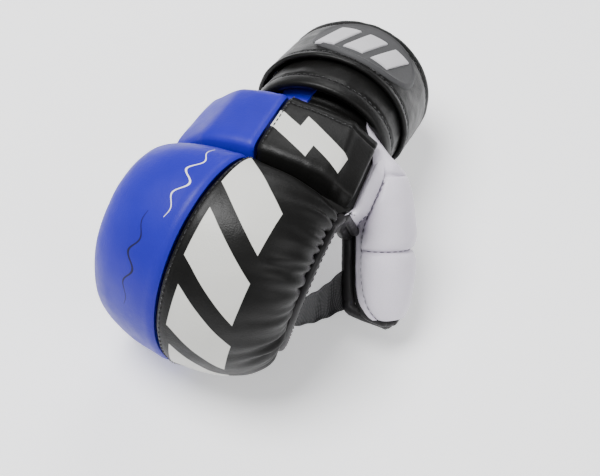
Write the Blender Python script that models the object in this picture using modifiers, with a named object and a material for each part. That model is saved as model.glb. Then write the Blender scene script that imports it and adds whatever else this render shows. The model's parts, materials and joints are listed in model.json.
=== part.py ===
"""Right-hand open-palm sparring glove, lying palm down.

+X runs towards the knuckles, +Y towards the thumb side and +Z up through the back of the
hand. Lengths are in metres and angles in degrees, except inside the trigonometry.
"""
import math

import bmesh
import bpy
from mathutils import Vector

# Driving dimensions
SKIN = 0.0012            # thickness of a leather cover
GAP = 0.0004             # clearance between touching pieces
LINING = 0.0008          # thickness of a lining
ORIGIN_SHIFT = Vector((0.0409, -0.0098, 0.0))   # puts the base centre of the glove at the origin

# Back of the hand: the inner face of the pad
CREASE_X = -0.0145       # fold between the back pad and the knuckle pad
CREASE_Z = 0.105
WRIST_X = -0.062         # wrist edge of the back pad
WRIST_Z = 0.0970
BACK_HALF_WIDTH = 0.050
BACK_DROP = 0.017        # how far the little finger side of the hand falls below its middle
THUMB_SIDE_DROP = 0.6    # the same for the thumb side, as a share
BACK_DEPTH = 0.018       # thickness of the back pad

# Knuckle pad: its inner face follows an elliptical arc about a line along Y
KNUCKLE_CENTRE = Vector((-0.002, 0.0, 0.0508))
KNUCKLE_REACH = 0.052    # horizontal half-axis
KNUCKLE_RISE = 0.0552    # vertical half-axis
KNUCKLE_START = 100.5    # angle of the crease end
KNUCKLE_END = -60.0      # angle of the lower end
KNUCKLE_HALF_WIDTH = 0.056
KNUCKLE_SKEW = 0.012     # the lower end lies towards the little finger
KNUCKLE_ARCH = 0.015     # how far the sides fall behind the middle
KNUCKLE_NARROW = 0.16    # share by which the thumb side is narrower
KNUCKLE_DEPTH = 0.034

# Colour seams, as fractions of the half width
KNUCKLE_SEAM = -0.22
BACK_SEAM = -0.12

# Thumb: a half tube from the wrist to beside the finger tips
THUMB_BASE = Vector((-0.060, 0.0480, 0.0735))
THUMB_TIP = Vector((-0.0055, 0.0715, 0.0195))
THUMB_OUT = Vector((0.30, 0.66, 0.68))
THUMB_RADIUS = 0.0118
THUMB_WRAP = 104.0       # half angle of the tube wall
THUMB_DEPTH = 0.0072

# Cuff: an elliptical tube whose axis slopes down from the wrist
CUFF_CENTRE = Vector((-0.0725, 0.0080, 0.0780))
CUFF_SLOPE = 26.6
CUFF_YAW = 1.5           # the cuff turns towards the little finger side
CUFF_TILT = 10.0         # the cuff's thumb side is turned up
CUFF_MOUTH_LEAN = 5.0     # lean of the mouth's plane, less than the slope
CUFF_LENGTH = 0.0777
CUFF_HALF_WIDTH = 0.0410
CUFF_HALF_HEIGHT = 0.0380
CUFF_WALL = 0.0060
CUFF_ROLL = 0.0030       # radius of the rolled edges

# Strap round the cuff, in degrees from the thumb side over the back of the wrist
STRAP_FROM = 0.26        # edges along the cuff, as fractions of its length
STRAP_TO = 0.90
STRAP_THICKNESS = 0.0028
ROOT_ANGLES = (-62.0, 4.5)
FLAP_ANGLES = (9.5, 116.0)
TIP_ANGLES = (122.0, 214.0)
TAPE_THICKNESS = 0.0010
BADGE_ANGLES = (24.0, 108.0)
BADGE_THICKNESS = 0.0016

# Palm side
HEEL_CENTRE_Z = 0.074
HEEL_HALF_WIDTH = 0.0455
HEEL_HALF_HEIGHT = 0.0285
FINGER_LOOP_RADII = {"index": 0.0108, "middle": 0.0112, "ring": 0.0106, "little": 0.0098}
FINGER_LOOP_LENGTH = 0.017
LOOP_SPREAD = 0.968      # how far apart the loops stand, as a share of their widths side by side
FINGER_LOOP_WALL = 0.0011

MATERIALS = {
    "blue_leather": ((0.035, 0.045, 0.50, 1.0), 0.42),
    "black_leather": ((0.016, 0.015, 0.016, 1.0), 0.40),
    "white_leather": ((0.74, 0.71, 0.76, 1.0), 0.45),
    "foam": ((0.30, 0.30, 0.32, 1.0), 0.95),
    "lining": ((0.030, 0.030, 0.032, 1.0), 0.85),
    "elastic": ((0.022, 0.022, 0.024, 1.0), 0.80),
    "tape": ((0.012, 0.012, 0.013, 1.0), 0.95),
    "rubber": ((0.060, 0.060, 0.062, 1.0), 0.55),
    "emblem": ((0.66, 0.66, 0.64, 1.0), 0.50),
}


# Setting up

def clear_scene():
    for item in list(bpy.data.objects):
        bpy.data.objects.remove(item, do_unlink=True)


def make_materials():
    made = {}
    for name, (colour, roughness) in MATERIALS.items():
        material = bpy.data.materials.new(name)
        material.use_nodes = True
        shader = material.node_tree.nodes["Principled BSDF"]
        shader.inputs["Base Color"].default_value = colour
        shader.inputs["Roughness"].default_value = roughness
        shader.inputs["Metallic"].default_value = 0.0
        made[name] = material
    return made


def make_empty(name, collection, parent, position):
    empty = bpy.data.objects.new(name, None)
    collection.objects.link(empty)
    empty.location = position
    empty.parent = parent
    return empty


# Small maths

def mix(low, high, amount):
    return low + (high - low) * amount


def part_way(value):
    """-1..1 to 0..1."""
    return 0.5 + 0.5 * value


def crown(value, power):
    """1 in the middle, 0 at -1 and 1, along a superellipse."""
    return max(0.0, 1.0 - abs(value) ** power) ** (1.0 / power)


def turned(angle):
    return math.cos(math.radians(angle)), math.sin(math.radians(angle))


def normal_at(surface, a, b):
    step = 0.004
    along = surface(a + step, b) - surface(a - step, b)
    across = surface(a, b + step) - surface(a, b - step)
    return along.cross(across).normalized()


# Surfaces: each takes a, b from -1 to 1, and its normal points out of the glove

def back_surface(a, b):
    """Back of the hand: a from the wrist to the crease, b from the little finger to the thumb."""
    t = part_way(a)
    width = mix(0.92, 1.0, t) * BACK_HALF_WIDTH
    drop = BACK_DROP * abs(b) ** 2.2 * (1.0 if b < 0.0 else THUMB_SIDE_DROP)
    return Vector((mix(WRIST_X, CREASE_X, t), b * width, mix(WRIST_Z, CREASE_Z, t) - drop))


def knuckle_surface(a, b):
    """Inner face of the knuckle pad: a from the crease to the lower end."""
    t = part_way(a)
    cosine, sine = turned(mix(KNUCKLE_START, KNUCKLE_END, t))
    width = KNUCKLE_HALF_WIDTH * (0.90 + 0.43 * t * (1.0 - t) - 0.24 * t * t)
    narrow = KNUCKLE_NARROW * max(0.0, b) * mix(1.0, 0.5, t)
    inward = KNUCKLE_ARCH * abs(b) ** 2.2 * mix(1.1, 0.5, t) * (1.0 if b < 0.0 else THUMB_SIDE_DROP)
    return Vector((
        KNUCKLE_CENTRE.x + cosine * (KNUCKLE_REACH - inward),
        b * width * (1.0 - narrow) - KNUCKLE_SKEW * t * (2.0 - t),
        KNUCKLE_CENTRE.z + sine * (KNUCKLE_RISE - inward),
    ))


def thumb_axes():
    along = (THUMB_TIP - THUMB_BASE).normalized()
    out = (THUMB_OUT - along * THUMB_OUT.dot(along)).normalized()
    return along, out, along.cross(out)


def thumb_surface(a, b):
    """Inner face of the thumb's half tube: a from the wrist to the tip, b round it."""
    along, out, side = thumb_axes()
    t = part_way(a)
    narrow = 1.0 - 0.50 * max(0.0, 1.0 - 2.4 * t) ** 2 - 0.35 * max(0.0, (t - 0.80) / 0.20) ** 2
    cosine, sine = turned(b * THUMB_WRAP * narrow)
    radius = THUMB_RADIUS * (1.0 + 0.10 * math.sin(math.pi * t))
    centre = THUMB_BASE.lerp(THUMB_TIP, t) + out * (0.004 * math.sin(math.pi * t))
    return centre + out * (cosine * radius) - side * (sine * radius)


def cuff_frame(t):
    """Centre of the cuff's section, its thumb side and its upper side, t from 0 to 1."""
    cosine, sine = turned(CUFF_SLOPE)
    yaw_cosine, yaw_sine = turned(CUFF_YAW)
    axis = Vector((-cosine * yaw_cosine, -cosine * yaw_sine, -sine))
    lean_cosine, lean_sine = turned(mix(CUFF_MOUTH_LEAN, CUFF_SLOPE, t))
    turn_cosine, turn_sine = turned(CUFF_YAW * t)
    level = Vector((-turn_sine, turn_cosine, 0.0))
    upright = Vector((-lean_sine * turn_cosine, -lean_sine * turn_sine, lean_cosine))
    tilt_cosine, tilt_sine = turned(CUFF_TILT)
    side = level * tilt_cosine + upright * tilt_sine
    up = upright * tilt_cosine - level * tilt_sine
    return CUFF_CENTRE + axis * (CUFF_LENGTH * t), side, up


def cuff_point(t, angle, offset):
    """A point round the cuff; offset is measured out from its outer face."""
    centre, side, up = cuff_frame(t)
    cosine, sine = turned(angle)
    taper = mix(1.0, 0.985, t)
    wide = CUFF_HALF_WIDTH * taper + offset
    high = CUFF_HALF_HEIGHT * taper + offset
    return centre + side * (cosine * wide) + up * (sine * high)


# Solids

def spaced(count, ends):
    """Cut places between -1 and 1, closer together towards both ends when ends is above 0."""
    places = []
    for index in range(1, count):
        even = -1.0 + 2.0 * index / count
        places.append(mix(even, math.sin(even * math.pi / 2.0), ends))
    return places


def cut_cube(counts, ends):
    mesh = bmesh.new()
    bmesh.ops.create_cube(mesh, size=2.0)
    for axis in range(3):
        direction = Vector((0.0, 0.0, 0.0))
        direction[axis] = 1.0
        for place in spaced(counts[axis], ends):
            geometry = mesh.verts[:] + mesh.edges[:] + mesh.faces[:]
            bmesh.ops.bisect_plane(mesh, geom=geometry, plane_co=direction * place, plane_no=direction)
    return mesh


def side_faces(mesh, sides):
    """The cube's faces on the named sides, such as ('c', -1)."""
    found = []
    for axis_name, sign in sides:
        axis = "abc".index(axis_name)
        for face in mesh.faces:
            if face.normal[axis] * sign > 0.9 and abs(face.calc_center_median()[axis] - sign) < 1e-4:
                found.append(face)
    return found


def finish(mesh, name, material, parts, body, wall=None):
    """Make an object of the mesh, placed on its body's empty, with an optional wall."""
    data = bpy.data.meshes.new(name)
    bmesh.ops.translate(mesh, verts=mesh.verts, vec=-body["pivot"])
    mesh.to_mesh(data)
    mesh.free()
    item = bpy.data.objects.new(name, data)
    parts["collection"].objects.link(item)
    item.parent = body["empty"]
    data.materials.append(parts["materials"][material])
    data.shade_smooth()
    data.set_sharp_from_angle(angle=math.radians(40.0))
    if wall:
        solidify = item.modifiers.new("wall", "SOLIDIFY")
        solidify.thickness = wall
        solidify.offset = -1.0
        solidify.use_even_offset = True
    return item


def slab(name, material, parts, body, place, counts, ends=0.0, without=(), wall=None):
    """A cube cut into a grid, with every point moved by place(a, b, c)."""
    mesh = cut_cube(counts, ends)
    mesh.normal_update()
    doomed = side_faces(mesh, without)
    for vert in mesh.verts:
        vert.co = place(*vert.co)
    if mesh.calc_volume(signed=True) < 0.0:
        bmesh.ops.reverse_faces(mesh, faces=mesh.faces[:])
    bmesh.ops.delete(mesh, geom=doomed, context="FACES")
    return finish(mesh, name, material, parts, body, wall)


def pad_place(surface, size, depth, edge, power, inset=0.0, lift=0.0, shave=0.0,
              b_range=(-1.0, 1.0), floor=0.0):
    """Place a cube as a crowned pad on a surface.

    size is the pad's half length and half width, edge the shares of its depth left at its
    rim on the little finger side and on the thumb side. inset is taken off all round, and
    lift and shave are taken off below and above.
    """
    def place(a, b, c):
        across = mix(b_range[0], b_range[1], part_way(b))
        scale_a = 1.0 - inset / size[0]
        scale_b = 1.0 - inset / size[1]
        point = surface(a * scale_a, across * scale_b)
        normal = normal_at(surface, a * scale_a, across * scale_b)
        full = depth(part_way(a)) if callable(depth) else depth
        rim = mix(edge[0], edge[1], part_way(across))
        height = full * mix(rim, 1.0, crown(a, power) * crown(across, power)) - shave
        point = point + normal * mix(lift, height, part_way(c))
        point.z = max(point.z, floor)
        return point
    return place


def tube(name, material, parts, body, points, radius, cyclic=False):
    """A round tube through the points, with closed ends."""
    curve = bpy.data.curves.new(name, "CURVE")
    curve.dimensions = "3D"
    curve.bevel_depth = radius
    curve.bevel_resolution = 2
    curve.use_fill_caps = True
    spline = curve.splines.new("POLY")
    spline.points.add(len(points) - 1)
    spline.use_cyclic_u = cyclic
    for target, point in zip(spline.points, points):
        target.co = (*(point - body["pivot"]), 1.0)
    item = bpy.data.objects.new(name, curve)
    parts["collection"].objects.link(item)
    item.parent = body["empty"]
    curve.materials.append(parts["materials"][material])
    return item


# Knuckle pad

def knuckle_depth(t):
    """Thickness of the knuckle pad from the crease to the lower end."""
    return KNUCKLE_DEPTH * (0.78 + 1.02 * t * (1.0 - t) - 0.30 * t)


def knuckle_size():
    angle = math.radians(KNUCKLE_START - KNUCKLE_END)
    return 0.25 * angle * (KNUCKLE_REACH + KNUCKLE_RISE), KNUCKLE_HALF_WIDTH


def build_knuckle(parts, body):
    size = knuckle_size()
    seam = 0.5 * GAP / KNUCKLE_HALF_WIDTH
    shape = dict(surface=knuckle_surface, size=size, depth=knuckle_depth, edge=(0.42, 0.20), power=2.4)
    slab("knuckle_cover_blue", "blue_leather", parts, body,
         pad_place(**shape, b_range=(-1.0, KNUCKLE_SEAM - seam)), (12, 7, 2), 0.75,
         without=(("c", -1), ("b", 1)), wall=SKIN)
    slab("knuckle_cover_black", "black_leather", parts, body,
         pad_place(**shape, b_range=(KNUCKLE_SEAM + seam, 1.0)), (12, 9, 2), 0.75,
         without=(("c", -1), ("b", -1)), wall=SKIN)
    slab("knuckle_foam", "foam", parts, body,
         pad_place(**shape, inset=2.0 * SKIN, lift=GAP, shave=2.0 * SKIN, floor=2.0 * SKIN),
         (12, 12, 1), 0.75)
    slab("knuckle_lining", "lining", parts, body,
         pad_place(knuckle_surface, size, -1.5 * GAP - LINING, (1.0, 1.0), 2.0, inset=SKIN, lift=-1.5 * GAP),
         (12, 12, 1))


def knuckle_rim(b, offset):
    """Points along one side of the knuckle pad's inner rim."""
    points = []
    for index in range(15):
        a = mix(-0.96, 0.97, index / 14.0)
        edge = knuckle_surface(a, b)
        side = (knuckle_surface(a, b) - knuckle_surface(a, b * 0.97)).normalized()
        points.append(edge + side * offset - normal_at(knuckle_surface, a, b) * 0.0016)
    return points


def build_knuckle_binding(parts, body):
    radius = 0.0022
    offset = radius + 4.0 * GAP
    radial = knuckle_rim(1.0, offset)
    ulnar = knuckle_rim(-1.0, offset)
    lower = []
    for index in range(9):
        b = mix(0.96, -0.96, index / 8.0)
        edge = knuckle_surface(1.0, b)
        end = (knuckle_surface(1.0, b) - knuckle_surface(0.97, b)).normalized()
        lower.append(edge + end * offset - normal_at(knuckle_surface, 1.0, b) * 0.0016)
    tube("knuckle_binding", "black_leather", parts, body, radial + lower + ulnar[::-1], radius)


# Finger loops under the knuckle pad

def build_finger_loops(parts, body):
    gap = 0.0012
    widths = [2.0 * (FINGER_LOOP_RADII[name] + FINGER_LOOP_WALL) + gap for name in FINGER_LOOP_RADII]
    y = 0.5 * sum(widths) - 0.5 * gap
    cosine, sine = turned(52.0)
    forward = Vector((sine, 0.0, -cosine)).normalized()
    out = Vector((cosine, 0.0, sine)).normalized()
    for name, width in zip(FINGER_LOOP_RADII, widths):
        outer = FINGER_LOOP_RADII[name] + FINGER_LOOP_WALL
        y_middle = y - outer
        share = y_middle / KNUCKLE_HALF_WIDTH
        roof = knuckle_surface(-0.42, share)
        roof.y = LOOP_SPREAD * y_middle - 0.5 * KNUCKLE_SKEW
        centre = roof - out * (outer + 0.0032 + 0.0030 * share * share)
        profile = bmesh.new()
        bmesh.ops.create_cone(profile, cap_ends=False, segments=24, radius1=outer, radius2=outer,
                              depth=FINGER_LOOP_LENGTH)
        side = Vector((0.0, 1.0, 0.0))
        for vert in profile.verts:
            x, local_y, z = vert.co
            vert.co = centre + out * x + side * local_y + forward * z
        profile.normal_update()
        bmesh.ops.recalc_face_normals(profile, faces=profile.faces)
        finish(profile, name + "_finger_loop", "elastic", parts, body, FINGER_LOOP_WALL)
        y -= width


# Back pad

def build_back(parts, body):
    half_length = 0.5 * (CREASE_X - WRIST_X)
    size = (half_length, BACK_HALF_WIDTH)
    seam = 0.5 * GAP / BACK_HALF_WIDTH
    shape = dict(surface=back_surface, size=size, depth=BACK_DEPTH, edge=(0.45, 0.45), power=4.0)
    slab("back_cover_blue", "blue_leather", parts, body,
         pad_place(**shape, b_range=(-1.0, BACK_SEAM - seam)), (8, 7, 2), 0.75,
         without=(("c", -1), ("b", 1)), wall=SKIN)
    slab("back_cover_black", "black_leather", parts, body,
         pad_place(**shape, b_range=(BACK_SEAM + seam, 1.0)), (8, 8, 2), 0.75,
         without=(("c", -1), ("b", -1)), wall=SKIN)
    slab("back_foam", "foam", parts, body,
         pad_place(**shape, inset=2.0 * SKIN, lift=GAP, shave=2.0 * SKIN), (8, 12, 1), 0.75)
    slab("hand_lining", "lining", parts, body,
         pad_place(back_surface, size, -GAP - LINING, (1.0, 1.0), 2.0, inset=SKIN, lift=-GAP), (6, 12, 1))


def build_wrist_bridge(parts, body):
    """A skin on an ellipsoid about the wrist's axis, so that it slides in the cuff's mouth."""
    def place(a, b, c):
        y = b * 0.026
        radius = (0.0264 + 0.0010 * part_way(c)) * math.sqrt(1.0 - (y / 0.034) ** 2)
        cosine, sine = turned(mix(100.0, 74.5, part_way(a)))
        return CUFF_CENTRE + Vector((cosine * radius, y, sine * radius))
    slab("wrist_bridge", "elastic", parts, body, place, (8, 8, 1))


# Palm heel

def heel_point(a, b, offset):
    """Round the heel of the hand: b from the little finger side under to the thumb side."""
    cosine, sine = turned(mix(186.0, 316.0, part_way(b)))
    reach = mix(0.016, 0.010, part_way(b))
    x = -0.047 + 0.5 * a * reach + 0.004 * (1.0 - part_way(b))
    y = cosine * (HEEL_HALF_WIDTH + offset)
    return Vector((x, y, HEEL_CENTRE_Z + sine * (HEEL_HALF_HEIGHT + offset)))


def build_heel(parts, body):
    slab("palm_heel_panel", "white_leather", parts, body,
         lambda a, b, c: heel_point(a, b, mix(-0.0025, 0.0025, part_way(c)) * mix(0.6, 1.0, crown(a, 2.5))),
         (4, 12, 2), 0.3)
    rim = [heel_point(1.0, mix(-0.97, 0.97, index / 12.0), 0.0) + Vector((0.0022 + GAP, 0.0, 0.0))
           for index in range(13)]
    tube("palm_heel_binding", "black_leather", parts, body, rim, 0.0020)


# Thumb

def build_thumb(parts, body):
    half_length = 0.5 * (THUMB_TIP - THUMB_BASE).length
    size = (half_length, math.radians(THUMB_WRAP) * THUMB_RADIUS)
    shape = dict(surface=thumb_surface, size=size, depth=THUMB_DEPTH, edge=(0.48, 0.48), power=2.6)
    slab("thumb_cover", "white_leather", parts, body, pad_place(**shape), (12, 12, 2), 0.6,
         without=(("c", -1),), wall=SKIN)
    foam = pad_place(**shape, inset=2.4 * SKIN, lift=GAP, shave=1.9 * SKIN)
    slab("thumb_foam_upper", "foam", parts, body,
         lambda a, b, c: foam(mix(-1.0, -0.01, part_way(a)), b, c), (6, 10, 1), 0.3)
    slab("thumb_foam_lower", "foam", parts, body,
         lambda a, b, c: foam(mix(0.01, 1.0, part_way(a)), b, c), (6, 10, 1), 0.3)
    slab("thumb_lining", "lining", parts, body,
         pad_place(thumb_surface, size, -GAP - LINING, (1.0, 1.0), 2.0, inset=SKIN, lift=-GAP), (8, 10, 1))


def thumb_side_point(t, reach):
    """Beside the thumb, on the side that faces the knuckles."""
    along, out, side = thumb_axes()
    return THUMB_BASE.lerp(THUMB_TIP, t) + side * reach + out * 0.004


def build_thumb_web(parts, body):
    """White panel between the back pad and the thumb."""
    def place(a, b, c):
        t = part_way(a)
        hand_edge = back_surface(mix(0.30, 0.90, t), 1.0) + Vector((0.0, 0.0028, -0.0012))
        thumb_edge = thumb_side_point(mix(0.36, 0.66, t), THUMB_RADIUS + THUMB_DEPTH + 0.0012)
        point = hand_edge.lerp(thumb_edge, part_way(b))
        return point + Vector((0.30, 0.60, 0.74)) * (0.002 * (part_way(c) - 0.5) + 0.001 * crown(b, 2.0))
    slab("thumb_web_panel", "white_leather", parts, body, place, (6, 4, 1))


def build_thumb_loop(parts, body):
    """Elastic that closes the palm side of the thumb's tube."""
    along, out, side = thumb_axes()

    def place(a, b, c):
        t = mix(0.30, 0.78, part_way(a))
        cosine, sine = turned(180.0 + b * (180.0 - THUMB_WRAP - 27.0))
        radius = THUMB_RADIUS + mix(-0.0012, 0.0, part_way(c))
        centre = THUMB_BASE.lerp(THUMB_TIP, t) + out * (0.004 * math.sin(math.pi * t))
        return centre + out * (cosine * radius) + side * (sine * radius)
    slab("thumb_loop", "elastic", parts, body, place, (4, 8, 1))


def build_thumb_binding(parts, body):
    radius = 0.0016

    def rim_point(a, b, inner_a, inner_b):
        rim = thumb_surface(a, b)
        outward = (rim - thumb_surface(inner_a, inner_b)).normalized()
        return rim + outward * (radius + 4.0 * GAP) - normal_at(thumb_surface, a, b) * 0.0019

    rows = [mix(-0.80, 0.94, index / 10.0) for index in range(11)]
    ends = [mix(-0.95, 0.95, index / 8.0) for index in range(9)]
    points = [rim_point(a, -1.0, a, -0.96) for a in rows]
    points += [rim_point(1.0, b, 0.96, b) for b in ends]
    points += [rim_point(a, 1.0, a, 0.96) for a in reversed(rows)]
    tube("thumb_binding", "black_leather", parts, body, points, radius)


# Cuff

def cuff_ring(t_range, angles, low, high):
    """Place a cube as part of the cuff's wall, between two offsets from its outer face."""
    def place(a, b, c):
        t = mix(t_range[0], t_range[1], part_way(a))
        angle = mix(angles[1], angles[0], part_way(b))
        return cuff_point(t, angle, mix(low, high, part_way(c)))
    return place


def build_cuff(parts, body):
    slab("cuff_shell", "black_leather", parts, body,
         cuff_ring((0.045, 0.955), (-86.0, 262.0), -CUFF_WALL, 0.0), (6, 32, 1))
    slab("cuff_lining", "lining", parts, body,
         cuff_ring((0.045, 0.955), (-85.0, 261.0), -CUFF_WALL - GAP - LINING, -CUFF_WALL - GAP), (3, 28, 1))
    slab("cuff_gusset", "elastic", parts, body,
         cuff_ring((0.08, 0.92), (263.5, 272.5), -CUFF_WALL, -CUFF_WALL + 0.0015), (3, 2, 1))
    for name, t in (("cuff_mouth_binding", 0.0), ("cuff_end_binding", 1.0)):
        ring = [cuff_point(t, 360.0 * index / 32.0, -CUFF_WALL * 0.5) for index in range(32)]
        tube(name, "black_leather", parts, body, ring, CUFF_ROLL * 0.86, cyclic=True)


def strap_rise(angle):
    """Height of the strap's inner face over the cuff: it climbs onto the tapes at its tip."""
    climb = (angle - ROOT_ANGLES[0]) / (TIP_ANGLES[1] - ROOT_ANGLES[0])
    return GAP + (2.0 * TAPE_THICKNESS + 2.0 * GAP) * min(1.0, max(0.0, climb * 1.5))


def strap_piece(name, material, parts, body, t_range, angles, count, sink=0.0, thickness=STRAP_THICKNESS,
                rounded=False):
    """A band that follows the cuff; sink lowers it under the strap's inner face."""
    middle = 0.5 * (t_range[0] + t_range[1])
    half = 0.5 * (t_range[1] - t_range[0])

    def place(a, b, c):
        angle = mix(angles[1], angles[0], part_way(b))
        half_here = half
        if rounded:
            into_tip = max(0.0, 1.0 - (angles[1] - angle) / 30.0)
            half_here = half * max(0.35, math.sqrt(1.0 - min(1.0, into_tip) ** 2 * 0.9))
        t = middle + a * half_here
        return cuff_point(t, angle, strap_rise(angle) + sink + thickness * part_way(c))
    slab(name, material, parts, body, place, (4, count, 1))


def build_strap_root(parts, body):
    strap_piece("strap_root", "black_leather", parts, body, (STRAP_FROM, STRAP_TO), ROOT_ANGLES, 8)
    slab("cuff_loop_tape", "tape", parts, body,
         cuff_ring((STRAP_FROM + 0.04, STRAP_TO - 0.04), (140.0, 208.0), GAP, GAP + TAPE_THICKNESS), (2, 8, 1))


def build_strap_flap(parts, body):
    strap_piece("strap_flap", "black_leather", parts, body, (STRAP_FROM, STRAP_TO), FLAP_ANGLES, 14)


def badge_outline(b):
    """Half width of the oval badge, as a share, from one end to the other."""
    return max(0.12, crown(b, 2.3))


def build_badge(parts, body):
    middle = 0.5 * (STRAP_FROM + STRAP_TO)
    half = 0.40 * (STRAP_TO - STRAP_FROM)

    def badge_place(a, b, c):
        angle = mix(BADGE_ANGLES[1], BADGE_ANGLES[0], part_way(b))
        base = strap_rise(angle) + STRAP_THICKNESS + GAP
        t = middle + a * half * badge_outline(b)
        return cuff_point(t, angle, base + BADGE_THICKNESS * part_way(c))
    slab("strap_badge", "rubber", parts, body, badge_place, (6, 16, 1), 0.5)
    for number, start in enumerate((42.0, 58.0, 74.0), start=1):
        def bar_place(a, b, c, start=start):
            angle = start + 5.0 * b + 5.0 * a
            base = strap_rise(angle) + STRAP_THICKNESS + 2.0 * GAP + BADGE_THICKNESS
            return cuff_point(middle - a * half * 0.62, angle, base + 0.0009 * part_way(c))
        slab("badge_bar_%d" % number, "emblem", parts, body, bar_place, (3, 1, 1))


def build_strap_tip(parts, body):
    strap_piece("strap_tip", "black_leather", parts, body, (STRAP_FROM, STRAP_TO), TIP_ANGLES, 14, rounded=True)
    strap_piece("strap_hook_tape", "tape", parts, body, (STRAP_FROM + 0.08, STRAP_TO - 0.08), (150.0, 190.0),
                6, sink=-TAPE_THICKNESS - GAP, thickness=TAPE_THICKNESS)


# Pivots of the moving bodies

KNUCKLE_PIVOT = Vector((CREASE_X + 0.0015, 0.0, CREASE_Z - 0.001))
THUMB_PIVOT = THUMB_BASE.copy()


def strap_pivot(angle):
    return cuff_point(0.5 * (STRAP_FROM + STRAP_TO), angle, strap_rise(angle))


def build_glove():
    clear_scene()
    collection = bpy.data.collections.new("sparring_glove")
    bpy.context.scene.collection.children.link(collection)
    parts = {"collection": collection, "materials": make_materials()}
    root = make_empty("glove", collection, None, ORIGIN_SHIFT)
    pivots = {
        "hand": Vector((0.0, 0.0, 0.0)),
        "knuckle": KNUCKLE_PIVOT,
        "thumb": THUMB_PIVOT,
        "cuff": CUFF_CENTRE.copy(),
        "strap_flap": strap_pivot(7.0),
        "strap_tip": strap_pivot(119.0),
    }
    bodies = {}
    for name, pivot in pivots.items():
        bodies[name] = {"pivot": pivot, "empty": make_empty("pivot_" + name, collection, root, pivot)}

    build_back(parts, bodies["hand"])
    build_wrist_bridge(parts, bodies["hand"])
    build_heel(parts, bodies["hand"])
    build_thumb_web(parts, bodies["hand"])
    build_knuckle(parts, bodies["knuckle"])
    build_knuckle_binding(parts, bodies["knuckle"])
    build_finger_loops(parts, bodies["knuckle"])
    build_thumb(parts, bodies["thumb"])
    build_thumb_loop(parts, bodies["thumb"])
    build_thumb_binding(parts, bodies["thumb"])
    build_cuff(parts, bodies["cuff"])
    build_strap_root(parts, bodies["cuff"])
    build_strap_flap(parts, bodies["strap_flap"])
    build_badge(parts, bodies["strap_flap"])
    build_strap_tip(parts, bodies["strap_tip"])


build_glove()
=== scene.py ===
import json
import math
import random
from functools import partial, reduce
from itertools import product

import bpy
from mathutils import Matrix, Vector, noise
from mathutils.bvhtree import BVHTree


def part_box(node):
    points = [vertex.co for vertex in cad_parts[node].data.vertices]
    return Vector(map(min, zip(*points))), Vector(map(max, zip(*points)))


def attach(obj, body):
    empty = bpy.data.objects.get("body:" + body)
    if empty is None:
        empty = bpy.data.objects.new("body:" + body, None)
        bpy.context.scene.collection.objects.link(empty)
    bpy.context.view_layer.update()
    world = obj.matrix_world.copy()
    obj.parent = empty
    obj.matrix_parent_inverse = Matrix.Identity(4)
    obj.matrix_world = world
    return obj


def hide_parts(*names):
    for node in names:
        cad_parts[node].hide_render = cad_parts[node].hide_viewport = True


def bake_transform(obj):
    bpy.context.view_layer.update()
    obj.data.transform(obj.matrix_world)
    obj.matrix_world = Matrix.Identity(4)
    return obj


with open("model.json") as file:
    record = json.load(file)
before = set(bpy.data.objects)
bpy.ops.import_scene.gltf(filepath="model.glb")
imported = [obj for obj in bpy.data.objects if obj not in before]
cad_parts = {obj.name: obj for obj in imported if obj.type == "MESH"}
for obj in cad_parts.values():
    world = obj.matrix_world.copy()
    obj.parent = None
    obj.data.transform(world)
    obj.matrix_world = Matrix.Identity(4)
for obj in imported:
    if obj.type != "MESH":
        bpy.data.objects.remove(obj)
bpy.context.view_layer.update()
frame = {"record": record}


# Places taken from the frame

def pivot(joint_name):
    return next(Vector(joint["pos_m"]) for joint in frame["record"]["behaviour"]["joints"]
                if joint["name"] == joint_name)


WRIST = pivot("wrist_flex")
CREASE = pivot("knuckle_flex")
THUMB_BASE = pivot("thumb_flex")
MIDDLE_Y = CREASE.y

# The same driving dimensions as the CAD model, in metres and degrees
MM = 0.001
GAP = 0.0004
CREASE_X = CREASE.x - 0.0015
CREASE_Z = CREASE.z + 0.001
WRIST_X = CREASE_X - 0.0475
WRIST_Z = CREASE_Z - 0.008
BACK_HALF_WIDTH = 0.050
BACK_DROP = 0.017
THUMB_SIDE_DROP = 0.6
BACK_DEPTH = 0.018
KNUCKLE_CENTRE = Vector((CREASE_X + 0.0125, MIDDLE_Y, 0.0508))
KNUCKLE_REACH = 0.052
KNUCKLE_RISE = 0.0552
KNUCKLE_START = 100.5
KNUCKLE_END = -60.0
KNUCKLE_HALF_WIDTH = 0.056
KNUCKLE_SKEW = 0.012
KNUCKLE_ARCH = 0.015
KNUCKLE_NARROW = 0.16
KNUCKLE_DEPTH = 0.034
KNUCKLE_SEAM = -0.22
BACK_SEAM = -0.12
THUMB_TIP = THUMB_BASE + Vector((0.0545, 0.0235, -0.0540))
THUMB_OUT = Vector((0.30, 0.66, 0.68))
THUMB_RADIUS = 0.0118
THUMB_WRAP = 104.0
THUMB_DEPTH = 0.0072
CUFF_SLOPE = 26.6
CUFF_YAW = 1.5
CUFF_TILT = 10.0
CUFF_MOUTH_LEAN = 5.0
CUFF_LENGTH = 0.0777
CUFF_HALF_WIDTH = 0.0410
CUFF_HALF_HEIGHT = 0.0380
CUFF_WALL = 0.0060
CUFF_ROLL = 0.0030
STRAP_FROM = 0.26
STRAP_TO = 0.90
STRAP_MIDDLE = 0.5 * (STRAP_FROM + STRAP_TO)
STRAP_HALF = 0.5 * (STRAP_TO - STRAP_FROM)
STRAP_THICKNESS = 0.0028
STRAP_ANGLES = (-62.0, 214.0)
TAPE_THICKNESS = 0.0010
BADGE_ANGLES = (24.0, 112.0)
HEEL_X = CREASE_X - 0.0325
HEEL_CENTRE_Z = 0.074
HEEL_HALF_WIDTH = 0.0455
HEEL_HALF_HEIGHT = 0.0285

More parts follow.
